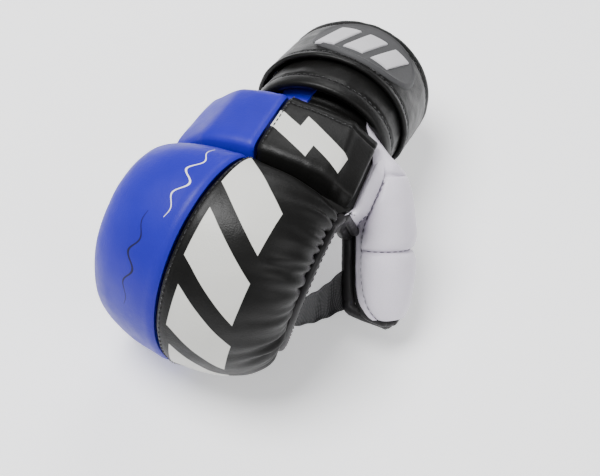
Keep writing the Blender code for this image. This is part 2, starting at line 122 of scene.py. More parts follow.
# Looks only, in metres unless a line says otherwise
PRESSURE = 4.0             # in the cloth simulation of a full pad
PAD_SHRINK = 0.985         # a pad's sides stand this far inside its rim
LINING_FACES = (-0.0013, -0.0002)
CUFF_INSIDE = -CUFF_WALL - 0.0030
RIM = (0.0016, -0.0006)    # the knuckle binding, out from the rim and up from it
THUMB_EDGE = (0.0014, 0.0002)
KNUCKLE_LENGTH = 150.0     # of the pad's inner face, in millimetres
THUMB_CROSS_A = 0.02       # the seam across the thumb
WEB_END = -0.20            # how far along the thumb the web reaches
WEB_OUT = Vector((0.30, 0.60, 0.74))
THUMB_INWARD = Vector((0.0016, -0.0052, -0.0026))   # from the thumb's binding to the roll inside it
MOUTH_X = -0.0010          # the padded mouth of the cuff reaches a little over the back pad
CHANNEL = 0.0058           # from each end of the cuff to its stitched channel
STRAP_JOIN = 63.0          # degrees round the cuff where the strap's two lengths meet, under the badge


# Small maths

def mix(low, high, amount):
    return low + (high - low) * amount


def part_way(value):
    return 0.5 + 0.5 * value


def clamp(value, low=0.0, high=1.0):
    return max(low, min(high, value))


def smooth(low, high, value):
    t = clamp((value - low) / (high - low))
    return t * t * (3.0 - 2.0 * t)


def bell(distance, width):
    return math.exp(-(distance / width) ** 2)


def crown(value, power):
    return max(0.0, 1.0 - abs(value) ** power) ** (1.0 / power)


def turned(angle):
    return math.cos(math.radians(angle)), math.sin(math.radians(angle))


def steps(low, high, count):
    return [mix(low, high, index / count) for index in range(count + 1)]


def rumple(point, size, seed=0.0):
    """Smooth noise about zero, with lumps of the given size."""
    return noise.noise(point / size + Vector((seed, 2.0 * seed, -seed)))


def table_place(table, value):
    """Where a value lies in a rising table, in steps."""
    for step, (low, high) in enumerate(zip(table, table[1:])):
        if value <= high:
            return step + clamp((value - low) / (high - low))
    return float(len(table) - 1)


# Surfaces, as in the CAD model

def normal_at(surface, a, b):
    step = 0.004
    along = surface(a + step, b) - surface(a - step, b)
    across = surface(a, b + step) - surface(a, b - step)
    return along.cross(across).normalized()


def rim_point(surface, a, b, out, lift):
    """A point beside a surface's rim, on its side where b is 1 or -1 and past its end elsewhere."""
    edge = surface(a, b)
    inside = surface(a, b * 0.97) if abs(b) >= 1.0 else surface(a * 0.97, b)
    return edge + (edge - inside).normalized() * out + normal_at(surface, a, b) * lift


def side_drop(b, power_drop):
    return power_drop * abs(b) ** 2.2 * (1.0 if b < 0.0 else THUMB_SIDE_DROP)


def back_surface(a, b):
    t = part_way(a)
    width = mix(0.92, 1.0, t) * BACK_HALF_WIDTH
    height = mix(WRIST_Z, CREASE_Z, t) - side_drop(b, BACK_DROP)
    return Vector((mix(WRIST_X, CREASE_X, t), MIDDLE_Y + b * width, height))


def knuckle_surface(a, b):
    t = part_way(a)
    cosine, sine = turned(mix(KNUCKLE_START, KNUCKLE_END, t))
    width = KNUCKLE_HALF_WIDTH * (0.90 + 0.43 * t * (1.0 - t) - 0.24 * t * t)
    narrow = KNUCKLE_NARROW * max(0.0, b) * mix(1.0, 0.5, t)
    inward = side_drop(b, KNUCKLE_ARCH) * mix(1.1, 0.5, t)
    return KNUCKLE_CENTRE + Vector((
        cosine * (KNUCKLE_REACH - inward),
        b * width * (1.0 - narrow) - KNUCKLE_SKEW * t * (2.0 - t),
        sine * (KNUCKLE_RISE - inward),
    ))


def thumb_round(t, angle, radius):
    """A point round the thumb's bowed middle line, at an angle from its outer side."""
    along = (THUMB_TIP - THUMB_BASE).normalized()
    out = (THUMB_OUT - along * THUMB_OUT.dot(along)).normalized()
    cosine, sine = turned(angle)
    centre = THUMB_BASE.lerp(THUMB_TIP, t) + out * (0.004 * math.sin(math.pi * t))
    return centre + out * (cosine * radius) - along.cross(out) * (sine * radius)


def thumb_surface(a, b):
    t = part_way(a)
    narrow = 1.0 - 0.50 * max(0.0, 1.0 - 2.4 * t) ** 2
    narrow *= math.sqrt(1.0 - 0.88 * max(0.0, (t - 0.60) / 0.40) ** 2.3)
    return thumb_round(t, b * THUMB_WRAP * narrow, THUMB_RADIUS * (1.0 + 0.10 * math.sin(math.pi * t)))


def cuff_point(t, angle, offset):
    cosine, sine = turned(CUFF_SLOPE)
    yaw_cosine, yaw_sine = turned(CUFF_YAW)
    axis = Vector((-cosine * yaw_cosine, -cosine * yaw_sine, -sine))
    lean_cosine, lean_sine = turned(mix(CUFF_MOUTH_LEAN, CUFF_SLOPE, t))
    turn_cosine, turn_sine = turned(CUFF_YAW * t)
    level = Vector((-turn_sine, turn_cosine, 0.0))
    upright = Vector((-lean_sine * turn_cosine, -lean_sine * turn_sine, lean_cosine))
    tilt_cosine, tilt_sine = turned(CUFF_TILT)
    side = level * tilt_cosine + upright * tilt_sine
    up = upright * tilt_cosine - level * tilt_sine
    cosine, sine = turned(angle)
    taper = mix(1.0, 0.985, t)
    wide = CUFF_HALF_WIDTH * taper + offset
    high = CUFF_HALF_HEIGHT * taper + offset
    return WRIST + axis * (CUFF_LENGTH * t) + side * (cosine * wide) + up * (sine * high)


def strap_rise(angle):
    climb = (angle - STRAP_ANGLES[0]) / (STRAP_ANGLES[1] - STRAP_ANGLES[0])
    return GAP + (2.0 * TAPE_THICKNESS + 2.0 * GAP) * clamp(climb * 1.5)


def heel_point(a, b, offset):
    t = part_way(b)
    cosine, sine = turned(mix(186.0, 316.0, t))
    return Vector((HEEL_X + 0.5 * a * mix(0.016, 0.010, t) + 0.004 * (1.0 - t),
                   MIDDLE_Y + cosine * (HEEL_HALF_WIDTH + offset),
                   HEEL_CENTRE_Z + sine * (HEEL_HALF_HEIGHT + offset)))


back_rim, knuckle_rim, thumb_rim = (partial(rim_point, surface)
                                    for surface in (back_surface, knuckle_surface, thumb_surface))


# Materials

def shade(colour, factor):
    return (colour[0] * factor, colour[1] * factor, colour[2] * factor, 1.0)


class Graph:
    """A material, its shader and the nodes that feed it."""

    def __init__(self, name, roughness, coat=0.0, sheen=0.0):
        self.material = bpy.data.materials.new(name)
        self.material.use_nodes = True
        self.tree = self.material.node_tree
        self.sockets = self.tree.nodes["Principled BSDF"].inputs
        for socket, value in (("Roughness", roughness), ("Coat Weight", coat), ("Coat Roughness", 0.35),
                              ("Specular IOR Level", 0.15), ("Sheen Weight", sheen),
                              ("Sheen Roughness", 0.5)):
            self.sockets[socket].default_value = value
        self.place = self.add("TexCoord").outputs["Object"]

    def add(self, kind, values=(), **settings):
        item = self.tree.nodes.new("ShaderNode" + kind)
        for key, value in settings.items():
            setattr(item, key, value)
        for key, value in dict(values).items():
            if isinstance(value, bpy.types.NodeSocket):
                self.tree.links.new(value, item.inputs[key])
            else:
                item.inputs[key].default_value = value
        return item

    def math(self, operation, *values):
        return self.add("Math", enumerate(values), operation=operation).outputs[0]

    def mixed(self, amount, first, second):
        return self.add("Mix", {0: amount, 6: first, 7: second}, data_type="RGBA").outputs[2]

    def ranged(self, value, low, high, source=(0.0, 1.0)):
        return self.add("MapRange", enumerate((value, *source, low, high))).outputs[0]

    def noise(self, scale, detail=2.0, rough=0.5):
        return self.add("TexNoise", {"Vector": self.place, "Scale": scale, "Detail": detail,
                                     "Roughness": rough}).outputs[0]

    def wave(self, place, scale, distortion, detail, direction):
        return self.add("TexWave", {"Vector": place, "Scale": scale, "Distortion": distortion,
                                    "Detail": detail},
                        bands_direction=direction).outputs["Fac"]

    def bump(self, height, strength, distance, **under):
        values = {"Strength": strength, "Distance": distance, "Height": height, **under}
        return self.add("Bump", values).outputs[0]

    def done(self, **feeds):
        for socket, value in feeds.items():
            self.tree.links.new(value, self.sockets[socket.replace("_", " ")])
        return self.material


def leather(name, colour, roughness, coat, wrinkle, grain, pale, prints=None):
    """Coated leather: pebble grain, soft creases, slight colour changes and paler worn edges."""
    graph = Graph(name, roughness, coat)
    cells = graph.add("TexVoronoi", {"Vector": graph.place, "Scale": 1150.0}).outputs["Distance"]
    creases = graph.noise(95.0, 4.0, 0.55)
    broad = graph.noise(22.0, 3.0)
    base = graph.mixed(graph.ranged(broad, 0.0, 1.0, (0.3, 0.7)), shade(colour, 0.90), shade(colour, 1.10))
    base = graph.mixed(graph.ranged(cells, 0.22, 0.0, (0.0, 0.5)), base, shade(colour, 0.72))
    edge = graph.add("NewGeometry").outputs["Pointiness"]
    worn = graph.math("MULTIPLY", graph.ranged(edge, 0.0, 0.55, (0.53, 0.62)), creases)
    base = graph.mixed(worn, base, shade(colour, pale))
    if prints:
        parts = graph.add("SeparateXYZ", {0: graph.add("UVMap", uv_map="panel").outputs[0]}).outputs
        for mask, ink in prints(graph, parts[0], parts[1]):
            base = graph.mixed(mask, base, ink)
    gloss = graph.ranged(creases, roughness - 0.07, roughness + 0.10, (0.25, 0.75))
    soft = graph.bump(creases, wrinkle, 0.0009)
    return graph.done(Base_Color=base, Roughness=gloss, Normal=graph.bump(cells, grain, 0.0003, Normal=soft))


def woven(name, colour, roughness, direction, rib_scale, cross_scale, depth, sheen):
    """Ribbed or woven cloth: ribs across one direction, finer threads across another."""
    graph = Graph(name, roughness, 0.0, sheen)
    turn = graph.add("Mapping", {"Vector": graph.place, "Rotation": direction}).outputs[0]
    ribs = graph.wave(turn, rib_scale, 0.6, 1.0, "X")
    threads = graph.wave(turn, cross_scale, 0.8, 1.0, "Y")
    weave = graph.math("MULTIPLY", ribs, graph.math("MULTIPLY_ADD", threads, 0.5, 0.5))
    base = graph.mixed(weave, shade(colour, 0.55), shade(colour, 1.35))
    base = graph.mixed(graph.ranged(graph.noise(900.0), 0.0, 0.35), base, shade(colour, 1.7))
    return graph.done(Base_Color=base, Normal=graph.bump(weave, depth, 0.0004))


def thread(name, colour):
    """Twisted sewing thread."""
    graph = Graph(name, 0.55, 0.0, 0.3)
    twist = graph.wave(graph.place, 420.0, 1.5, 2.0, "DIAGONAL")
    return graph.done(Base_Color=graph.mixed(twist, shade(colour, 0.6), shade(colour, 1.25)),
                      Normal=graph.bump(twist, 0.5, 0.0002))


def moulded(name, colour, roughness):
    """Moulded rubber with a fine matt texture."""
    graph = Graph(name, roughness)
    fine = graph.noise(500.0, 3.0, 0.7)
    base = graph.mixed(graph.noise(40.0), shade(colour, 0.88), shade(colour, 1.12))
    base = graph.mixed(graph.ranged(fine, 0.0, 0.3), base, shade(colour, 0.7))
    return graph.done(Base_Color=base, Roughness=graph.ranged(fine, roughness - 0.06, roughness + 0.08),
                      Normal=graph.bump(fine, 0.35, 0.0002))


def bar_mask(graph, u, v, centre, half, angle, slant):
    """1 inside a slanted bar of the panel map, which is in millimetres."""
    cosine, sine = turned(angle)
    x, y = graph.math("SUBTRACT", u, centre[0]), graph.math("SUBTRACT", v, centre[1])
    along = graph.math("ADD", graph.math("MULTIPLY", x, cosine), graph.math("MULTIPLY", y, sine))
    across = graph.math("SUBTRACT", graph.math("MULTIPLY", y, cosine), graph.math("MULTIPLY", x, sine))
    along = graph.math("ADD", along, graph.math("MULTIPLY", across, slant))
    outside = [graph.math("SUBTRACT", graph.math("ABSOLUTE", place), limit)
               for place, limit in zip((along, across), half)]
    return graph.ranged(graph.math("MAXIMUM", *outside), 1.0, 0.0, (-0.1, 0.1))


def wave_mask(graph, u, v, centre, half_length, height, width):
    """1 on a thin wavy stroke that runs along u, over three waves."""
    x = graph.math("SUBTRACT", u, centre[0])
    far = graph.math("ABSOLUTE", x)
    swing = graph.math("SINE", graph.math("MULTIPLY", x, 3.0 * math.pi / half_length))
    fade = graph.math("SUBTRACT", 1.0, graph.math("MULTIPLY", far, 0.8 / half_length))
    y = graph.math("SUBTRACT", graph.math("SUBTRACT", v, centre[1]),
                   graph.math("MULTIPLY", graph.math("MULTIPLY", swing, height), fade))
    beside = graph.math("SUBTRACT", graph.math("ABSOLUTE", y), graph.math("MULTIPLY", fade, width))
    past = graph.math("SUBTRACT", far, half_length)
    return graph.ranged(graph.math("MAXIMUM", beside, past), 1.0, 0.0, (-0.08, 0.08))


PRINT_INK = (0.62, 0.62, 0.58, 1.0)
WHITE_STROKE = (0.80, 0.80, 0.84, 1.0)
DARK_STROKE = (0.012, 0.012, 0.04, 1.0)


def printed_bars(graph, u, v, centres, *form):
    """Slanted bars in one ink, joined where they meet."""
    masks = [bar_mask(graph, u, v, centre, *form) for centre in centres]
    return [(reduce(partial(graph.math, "MAXIMUM"), masks), PRINT_INK)]


def knuckle_print(graph, u, v):
    """Four bars across the black half of the knuckle pad."""
    centres = [(place, 11.0) for place in (22.0, 50.0, 78.0, 106.0)]
    return printed_bars(graph, u, v, centres, (19.0, 8.0), 58.0, 0.5)


def back_print(graph, u, v):
    """Two bars side by side on the black half of the back pad."""
    return printed_bars(graph, u, v, [(28.0, place) for place in (5.0, 23.0)], (16.0, 6.0), 62.0, 0.4)


def blue_strokes(graph, u, v):
    """Two brushed waves, one pale and one dark."""
    return [(wave_mask(graph, u, v, (23.0, -21.0), 17.0, 3.2, 0.55), WHITE_STROKE),
            (wave_mask(graph, u, v, (59.0, -29.0), 19.0, 2.6, 0.70), DARK_STROKE)]


BLUE = (0.016, 0.012, 0.33)
BLACK = (0.0048, 0.0047, 0.0044)

# Each material's kind and settings
MATERIALS = {name: kind(name, *settings) for kind, name, *settings in (
    (leather, "blue_knuckle", BLUE, 0.42, 0.06, 0.25, 0.20, 1.3, blue_strokes),
    (leather, "black_knuckle", BLACK, 0.40, 0.08, 0.35, 0.25, 2.4, knuckle_print),
    (leather, "blue_leather", BLUE, 0.42, 0.06, 0.25, 0.20, 1.3),
    (leather, "black_back", BLACK, 0.42, 0.06, 0.30, 0.25, 2.4, back_print),
    (leather, "black_leather", BLACK, 0.40, 0.08, 0.35, 0.25, 2.4),
    (leather, "binding", (0.018, 0.017, 0.018), 0.36, 0.10, 0.5, 0.2, 2.6),
    (leather, "white_leather", (0.66, 0.62, 0.70), 0.36, 0.12, 0.30, 0.15, 1.15),
    (woven, "lining", (0.020, 0.020, 0.021), 0.85, (0.0, 0.0, 0.0), 520.0, 520.0, 0.5, 0.25),
    (woven, "elastic", (0.018, 0.018, 0.019), 0.75, (0.0, 0.66, 0.0), 260.0, 620.0, 0.8, 0.2),
    (woven, "tape", (0.012, 0.012, 0.013), 0.95, (0.0, 0.0, 0.6), 500.0, 500.0, 1.0, 0.5),
    (moulded, "rubber", (0.062, 0.062, 0.064), 0.55),
    (moulded, "emblem", (0.56, 0.55, 0.57), 0.45),
    (thread, "black_thread", (0.010, 0.010, 0.011)),
    (thread, "grey_thread", (0.16, 0.15, 0.20)),
)}

# The record's slot of each material whose name isn't its slot
SLOTS = {"blue_knuckle": "blue_leather", "black_knuckle": "black_leather", "black_back": "black_leather",
         "binding": "black_leather", "black_thread": "black_leather", "grey_thread": "white_leather"}


# Meshes

def skin_grid(counts):
    """Grid places on the skin of a cut cube, and the faces between them."""
    index, places, faces = {}, [], []

    def corner(place):
        if place not in index:
            index[place] = len(places)
            places.append(place)
        return index[place]

    for axis in range(3):
        first, second = (axis + 1) % 3, (axis + 2) % 3
        for level, p, q in product((0, counts[axis]), range(counts[first]), range(counts[second])):
            quad = []
            for step_p, step_q in ((0, 0), (1, 0), (1, 1), (0, 1)):
                place = [0, 0, 0]
                place[axis], place[first], place[second] = level, p + step_p, q + step_q
                quad.append(corner(tuple(place)))
            faces.append(quad if level else quad[::-1])
    return places, faces


def ring_grid(around, along, closed=True):
    """Faces between rings of points, the last ring joined to the first where it is closed."""
    faces = []
    for i, j in product(range(around if closed else around - 1), range(along)):
        next_i, next_j = (i + 1) % around, (j + 1) % along
        faces.append([i * along + j, next_i * along + j, next_i * along + next_j, i * along + next_j])
    return faces


def eased(place, count, ease):
    """-1..1, with the steps closer together towards both ends when ease is above 0."""
    even = -1.0 + 2.0 * place / count
    return mix(even, math.sin(even * math.pi / 2.0), ease)


def volume(points, faces):
    total = 0.0
    for face in faces:
        for second, third in zip(face[1:-1], face[2:]):
            total += points[face[0]].dot(points[second].cross(points[third]))
    return total / 6.0


slots = {}


def make_piece(name, points, faces, material, sharp=None):
    """A closed mesh object with its faces turned outwards."""
    centre = sum(points, Vector()) / len(points)
    if volume([point - centre for point in points], faces) < 0.0:
        faces = [face[::-1] for face in faces]
    mesh = bpy.data.meshes.new(name)
    mesh.from_pydata([tuple(point) for point in points], [], faces)
    mesh.materials.append(MATERIALS[material])
    mesh.shade_smooth()
    if sharp:
        mesh.set_sharp_from_angle(angle=math.radians(sharp))
    piece = bpy.data.objects.new(name, mesh)
    bpy.context.scene.collection.objects.link(piece)
    slots[piece.name] = SLOTS.get(material, material)
    return piece


def block(name, material, place, counts, ease=(0.0, 0.0, 0.0), height=None, panel=None, sharp=50.0):
    """A closed block: place(a, b, c) says where each point goes, height(a, b, c) embosses it."""
    places, faces = skin_grid(counts)
    params = [tuple(map(eased, spot, counts, ease)) for spot in places]
    piece = make_piece(name, [place(*param) for param in params], faces, material, sharp)
    vertices = piece.data.vertices
    if height:
        moves = [vertex.normal * height(*param) for vertex, param in zip(vertices, params)]
        for vertex, move in zip(vertices, moves):
            vertex.co += move
        piece.data.update()
    if panel:
        coordinates = [panel(*param) for param in params]
        layer = piece.data.uv_layers.new(name="panel")
        for loop in piece.data.loops:
            layer.data[loop.index].uv = coordinates[loop.vertex_index]
    return piece


def inflate(points, faces, pinned, pressure, cap):
    """Cloth simulation with pressure: where the points of a closed cushion go."""
    piece = make_piece("cushion_in_work", points, faces, "white_leather", 50.0)
    group = piece.vertex_groups.new(name="pinned")
    group.add([index for index, held in enumerate(pinned) if held], 1.0, "REPLACE")
    settings = piece.modifiers.new("cloth", "CLOTH").settings
    settings.quality = 4
    settings.mass = 0.30
    settings.tension_stiffness = settings.compression_stiffness = 12.0
    settings.shear_stiffness = 5.0
    settings.bending_stiffness = 0.4
    settings.use_pressure = True
    settings.uniform_pressure_force = pressure
    settings.vertex_group_mass = "pinned"
    settings.effector_weights.gravity = 0.0
    scene = bpy.context.scene
    for frame_number in range(1, 19):
        scene.frame_set(frame_number)
    solved = piece.evaluated_get(bpy.context.evaluated_depsgraph_get())
    moved = []
    for start, vertex in zip(points, solved.data.vertices):
        move = vertex.co - start
        moved.append(start + move * min(1.0, cap / max(move.length, 1e-9)))
    mesh = piece.data
    bpy.data.objects.remove(piece)
    bpy.data.meshes.remove(mesh)
    scene.frame_set(1)
    return moved


class Cushion:
    """A padded form: a and b run over it, c from its inner face to its outer face."""

    def __init__(self, place, counts, ease, pressure, cap, held=None):
        self.place, self.counts = place, counts
        places, faces = skin_grid(counts)
        params = [tuple(map(eased, spot, counts, ease)) for spot in places]
        points = [place(*param) for param in params]
        pinned = [spot[2] == 0 or bool(held and held(*param)) for spot, param in zip(places, params)]
        moved = inflate(points, faces, pinned, pressure, cap)
        self.moves = {spot: end - start for spot, start, end in zip(places, points, moved)}
        self.tables = [[eased(step, count, share) for step in range(count + 1)]
                       for count, share in zip(counts, ease)]

    def move_at(self, spot):
        if spot in self.moves:
            return self.moves[spot]
        top = (spot[0], spot[1], self.counts[2])
        return self.moves[top] * (spot[2] / self.counts[2])

    def point(self, a, b, c):
        total = Vector()
        places = [table_place(table, value) for table, value in zip(self.tables, (a, b, c))]
        for corner in product((0, 1), repeat=3):
            share, spot = 1.0, []
            for place, count, side in zip(places, self.counts, corner):
                base = min(int(place), count - 1)
                share *= place - base if side else 1.0 - (place - base)
                spot.append(base + side)
            if share > 0.0:
                total += self.move_at(tuple(spot)) * share
        return self.place(a, b, c) + total


def smooth_path(points):
    """A Catmull-Rom curve through the points."""
    path = []
    ends = [points[0], *points, points[-1]]
    for p0, p1, p2, p3 in zip(ends, ends[1:], ends[2:], ends[3:]):
        for t in steps(0.0, 1.0, 5)[:-1]:
            path.append(0.5 * (2.0 * p1 + (p2 - p0) * t + (2.0 * p0 - 5.0 * p1 + 4.0 * p2 - p3) * t * t
                               + (3.0 * p1 - p0 - 3.0 * p2 + p3) * t * t * t))
    return path + [points[-1].copy()]


def roll(name, material, points, radius, sides=14):
    """A rolled edge: a round tube along a smooth path, gently puckered, with rounded ends."""
    path = smooth_path(points)
    last = len(path) - 1
    tangents = [(path[min(index + 1, last)] - path[max(index - 1, 0)]).normalized()
                for index in range(last + 1)]
    side = tangents[0].orthogonal().normalized()
    travelled = 0.0
    skin = []
    for index, (point, tangent) in enumerate(zip(path, tangents)):
        side = (side - tangent * side.dot(tangent)).normalized()
        other = tangent.cross(side)
        travelled += (point - path[index - 1]).length if index else 0.0
        swell = 1.0 + 0.06 * noise.noise(Vector((travelled / 0.0035, radius * 900.0, 0.0)))
        to_end = min(index, last - index)
        swell *= (0.45, 0.80, 0.95)[to_end] if to_end < 3 else 1.0
        for step in range(sides):
            cosine, sine = turned(360.0 * step / sides)
            skin.append(point + side * (cosine * radius * swell) + other * (sine * radius * swell))
    faces = ring_grid(last + 1, sides, False)
    faces.append(list(range(sides))[::-1])
    faces.append([last * sides + step for step in range(sides)])
    return make_piece(name, skin, faces, material)


def surface_tree(pieces):
    """One search tree over the final meshes of several pieces."""
    points, faces = [], []
    for piece in pieces:
        offset = len(points)
        points += [vertex.co.copy() for vertex in piece.data.vertices]
        faces += [[offset + index for index in face.vertices] for face in piece.data.polygons]
    return BVHTree.FromPolygons(points, faces)


def land(tree, point, direction, reach=0.03):
    """Where a line that comes in against direction first meets the surface, and the normal there."""
    place, normal, _, _ = tree.ray_cast(point + direction * reach, -direction, 2.0 * reach)
    if place is None:
        place, normal, _, _ = tree.find_nearest(point)
    return place, normal


STITCH = (0.0024, 0.0013, 0.00036)                    # length, space and radius
SMALL_STITCH = (0.0020, 0.0012, 0.0003)
STITCH_RINGS = ((-0.86, 0.75, -0.2), (0.0, 1.0, 0.0), (0.86, 0.75, -0.2))    # place, girth and lift


def stitches(name, material, tree, path, length, space, radius):
    """Separate stitches along a path of (point, outward direction) pairs, pressed into a surface."""
    landed = [land(tree, point, direction) for point, direction in path]
    lengths = [0.0]
    for (start, _), (end, _) in zip(landed, landed[1:]):
        lengths.append(lengths[-1] + (end - start).length)

    def at(distance):
        place = table_place(lengths, distance)
        index = min(int(place), len(landed) - 2)
        (start, low), (end, high) = landed[index:index + 2]
        return start.lerp(end, place - index), low.lerp(high, place - index).normalized()

    points, faces = [], []
    start = 0.5 * space
    sides = 6
    while start + length < lengths[-1]:
        middle, normal = at(start + 0.5 * length)
        along = (at(start + length)[0] - at(start)[0]).normalized()
        across = along.cross(normal).normalized()
        up = across.cross(along)

        def centre(share, lift):
            return middle + along * (share * 0.5 * length) + up * (radius * (0.85 + 0.9 * lift))

        base = len(points)
        points.append(centre(-1.0, -1.0))
        for share, girth, lift in STITCH_RINGS:
            for step in range(sides):
                cosine, sine = turned(360.0 * step / sides)
                points.append(centre(share, lift) + across * (cosine * radius * girth)
                              + up * (sine * radius * girth))
        points.append(centre(1.0, -1.0))
        last_ring, end = base + 1 + 2 * sides, base + 1 + 3 * sides
        faces += [[base + 1 + index for index in quad] for quad in ring_grid(3, sides, False)]
        for step in range(sides):
            next_step = (step + 1) % sides
            faces.append([base, base + 1 + step, base + 1 + next_step])
            faces.append([end, last_ring + next_step, last_ring + step])
        start += length + space
    return make_piece(name, points, faces, material)


def path_on(surface, a_values, b_values):
    """(point, outward direction) pairs on a surface."""
    return [(surface(a, b), normal_at(surface, a, b)) for a, b in zip(a_values, b_values)]


def path_round(point_at, angles):
    """(point, outward direction) pairs, from point_at(angle, height)."""
    return [(point_at(angle, 0.0), (point_at(angle, 1.0) - point_at(angle, 0.0)).normalized())
            for angle in angles]


def finish(piece, body, replaced=(), slot=None):
    """Hang a piece on its body; one that stretches between two bodies, given as (body, body, start, end), is
    baked in place instead.
    """
    if isinstance(body, str):
        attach(piece, body)
    else:
        tuple(body[2])
        tuple(body[3])
        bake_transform(piece)
    slot or slots[piece.name]
    if replaced:
        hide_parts(*replaced)
    return piece


def sew(name, pieces, path, body, thread_name="black_thread", size=STITCH, slot=None):
    finish(stitches(name, thread_name, surface_tree(pieces), path, *size), body, slot=slot)


def bind(name, points, radius, body, replaced=(), material="binding", sides=14):
    return finish(roll(name, material, points, radius, sides), body, replaced)


def add_lining(name, surface, counts, ease, body, wave, shrink=0.99, hollow=0.0):
    """A thin lining inside a surface. wave gives the height, size and seed of its waves."""
    def place(a, b, c):
        point = surface(a * shrink, b * 0.99)
        sag = wave[0] * rumple(point, *wave[1:]) - hollow * crown(a, 3.0) * crown(b, 3.0)
        return point + normal_at(surface, a * shrink, b * 0.99) * (sag + mix(*LINING_FACES, part_way(c)))

    finish(block(name + "_sheet", "lining", place, counts, ease), body, (name,))


def add_halves(name, body, cushion, seam, height, panel, rows, ease, halves):
    """The blue and the black half of a pad, on either side of its seam."""
    made = []
    for (side, material, count, replaced), ends in zip(halves, ((-1.0, None), (None, 1.0))):
        def across(a, b, ends=ends):
            low, high = (seam(a) if end is None else end for end in ends)
            return mix(low, high, part_way(b))

        piece = block("%s_%s" % (name, side), material,
                      lambda a, b, c, across=across: cushion.point(a, across(a, b), c), (rows, count, 7),
                      (ease, 0.0, 0.0), lambda a, b, c, across=across: height(a, across(a, b), c),
                      lambda a, b, c, across=across: panel(a, across(a, b)), 70.0)
        for vertex in piece.data.vertices:
            vertex.co.z = max(vertex.co.z, 0.0)
        made.append(finish(piece, body, replaced))
    return made


# Knuckle pad

def gathers(seed, count, spacing, reach, depth):
    """Places, widths, reaches and depths of the pleats along an edge, in millimetres."""
    draw = random.Random(seed)
    found = []
    place = 3.0
    for _ in range(count):
        found.append((place, draw.uniform(0.9, 1.7), draw.uniform(0.45, 1.0) * reach,
                      draw.uniform(0.5, 1.0) * depth, draw.uniform(-0.10, 0.25)))
        place += spacing * draw.uniform(0.7, 1.3)
    return found


def gather_height(pleats, along, away):
    """Height of gathered leather at a place along an edge and away from it, in millimetres."""
    total = 0.0
    for place, width, reach, depth, slant in pleats:
        offset = abs((along - place - slant * away) / (width * (1.0 + away / reach)))
        if offset < 4.0:
            total += depth * (0.45 * bell(offset - 1.6, 1.0) - bell(offset, 1.0)) * bell(away, reach)
    return total


def knuckle_depth(t):
    return KNUCKLE_DEPTH * (0.78 + 1.02 * t * (1.0 - t) - 0.30 * t)


def knuckle_seam(a):
    """Place across the pad of the curved seam between its two colours."""
    past = part_way(a) - 0.45
    return KNUCKLE_SEAM + (0.5 if past < 0.0 else 0.85) * past * past


def build_knuckle():
    def place(a, b, c):
        spot = a * PAD_SHRINK, b * PAD_SHRINK
        profile = crown(a, 2.5) * crown(b, 3.2 if b < 0.0 else 1.9)
        height = knuckle_depth(part_way(a)) * mix(mix(0.52, 0.20, part_way(b)), 1.0, profile) - 0.0012
        return knuckle_surface(*spot) + normal_at(knuckle_surface, *spot) * (height * part_way(c))

    cushion = Cushion(place, (44, 32, 4), (0.6, 0.6, 0.0), PRESSURE, 0.0045)
    wall = 1000.0 * KNUCKLE_DEPTH * 0.36
    half = 1000.0 * KNUCKLE_HALF_WIDTH
    radial = gathers(4, 30, 5.2, 34.0, 2.3)
    ulnar = gathers(9, 26, 6.0, 10.0, 0.6)

    def panel(a, b):
        return KNUCKLE_LENGTH * part_way(a), half * b

    def height(a, b, c):
        u, v = panel(a, b)
        rise = part_way(c)
        if c < -0.99:
            return 0.0
        total = gather_height(radial, u, wall * rise + (half - v))
        total += gather_height(ulnar, u, wall * rise + (half + v))
        total += 0.8 * gather_height(ulnar, v + half, wall * rise + 0.5 * KNUCKLE_LENGTH * (1.0 - a))
        seam = abs(v - half * knuckle_seam(a))
        total += (0.35 * bell(seam - 4.0, 2.2) - 1.3 * bell(seam, 1.5)) * rise
        return (total + 0.35 * rumple(Vector((u, v, 0.0)), 14.0, 3.0) * rise) * MM

    halves = (("blue", "blue_knuckle", 44, ("knuckle_cover_blue", "knuckle_foam")),
              ("black", "black_knuckle", 76, ("knuckle_cover_black",)))
    made = add_halves("knuckle_pad", "knuckle", cushion, knuckle_seam, height, panel, 190, 0.35, halves)
    rows = steps(-0.97, 0.97, 90)
    line = path_on(knuckle_surface, rows, [knuckle_seam(a) + 2.6 / half for a in rows])
    sew("knuckle_seam_stitches", made, line, "knuckle")


def build_knuckle_trim():
    rows = steps(-0.93, 0.95, 15)
    rim = [knuckle_rim(a, 1.0, *RIM) for a in rows]
    rim += [knuckle_rim(1.0, b, *RIM) for b in steps(0.94, -0.94, 8)]
    rim += [knuckle_rim(a, -1.0, *RIM) for a in rows[::-1]]
    binding = bind("knuckle_rim_binding", rim, 0.0031, "knuckle", ("knuckle_binding",))
    line = [(knuckle_rim(a, 1.0, RIM[0] + 0.0024, RIM[1]),
             knuckle_rim(a, 1.0, 1.0, 0.0) - knuckle_rim(a, 1.0, 0.0, 0.0)) for a in steps(-0.9, 0.93, 60)]
    sew("knuckle_rim_stitches", [binding], line, "knuckle", size=(0.0022, 0.0014, 0.0003))
    add_lining("knuckle_lining", knuckle_surface, (60, 40, 1), (0.3, 0.3, 0.0), "knuckle",
               (0.0006, 0.016, 5.0), hollow=0.0008)


# Finger loops

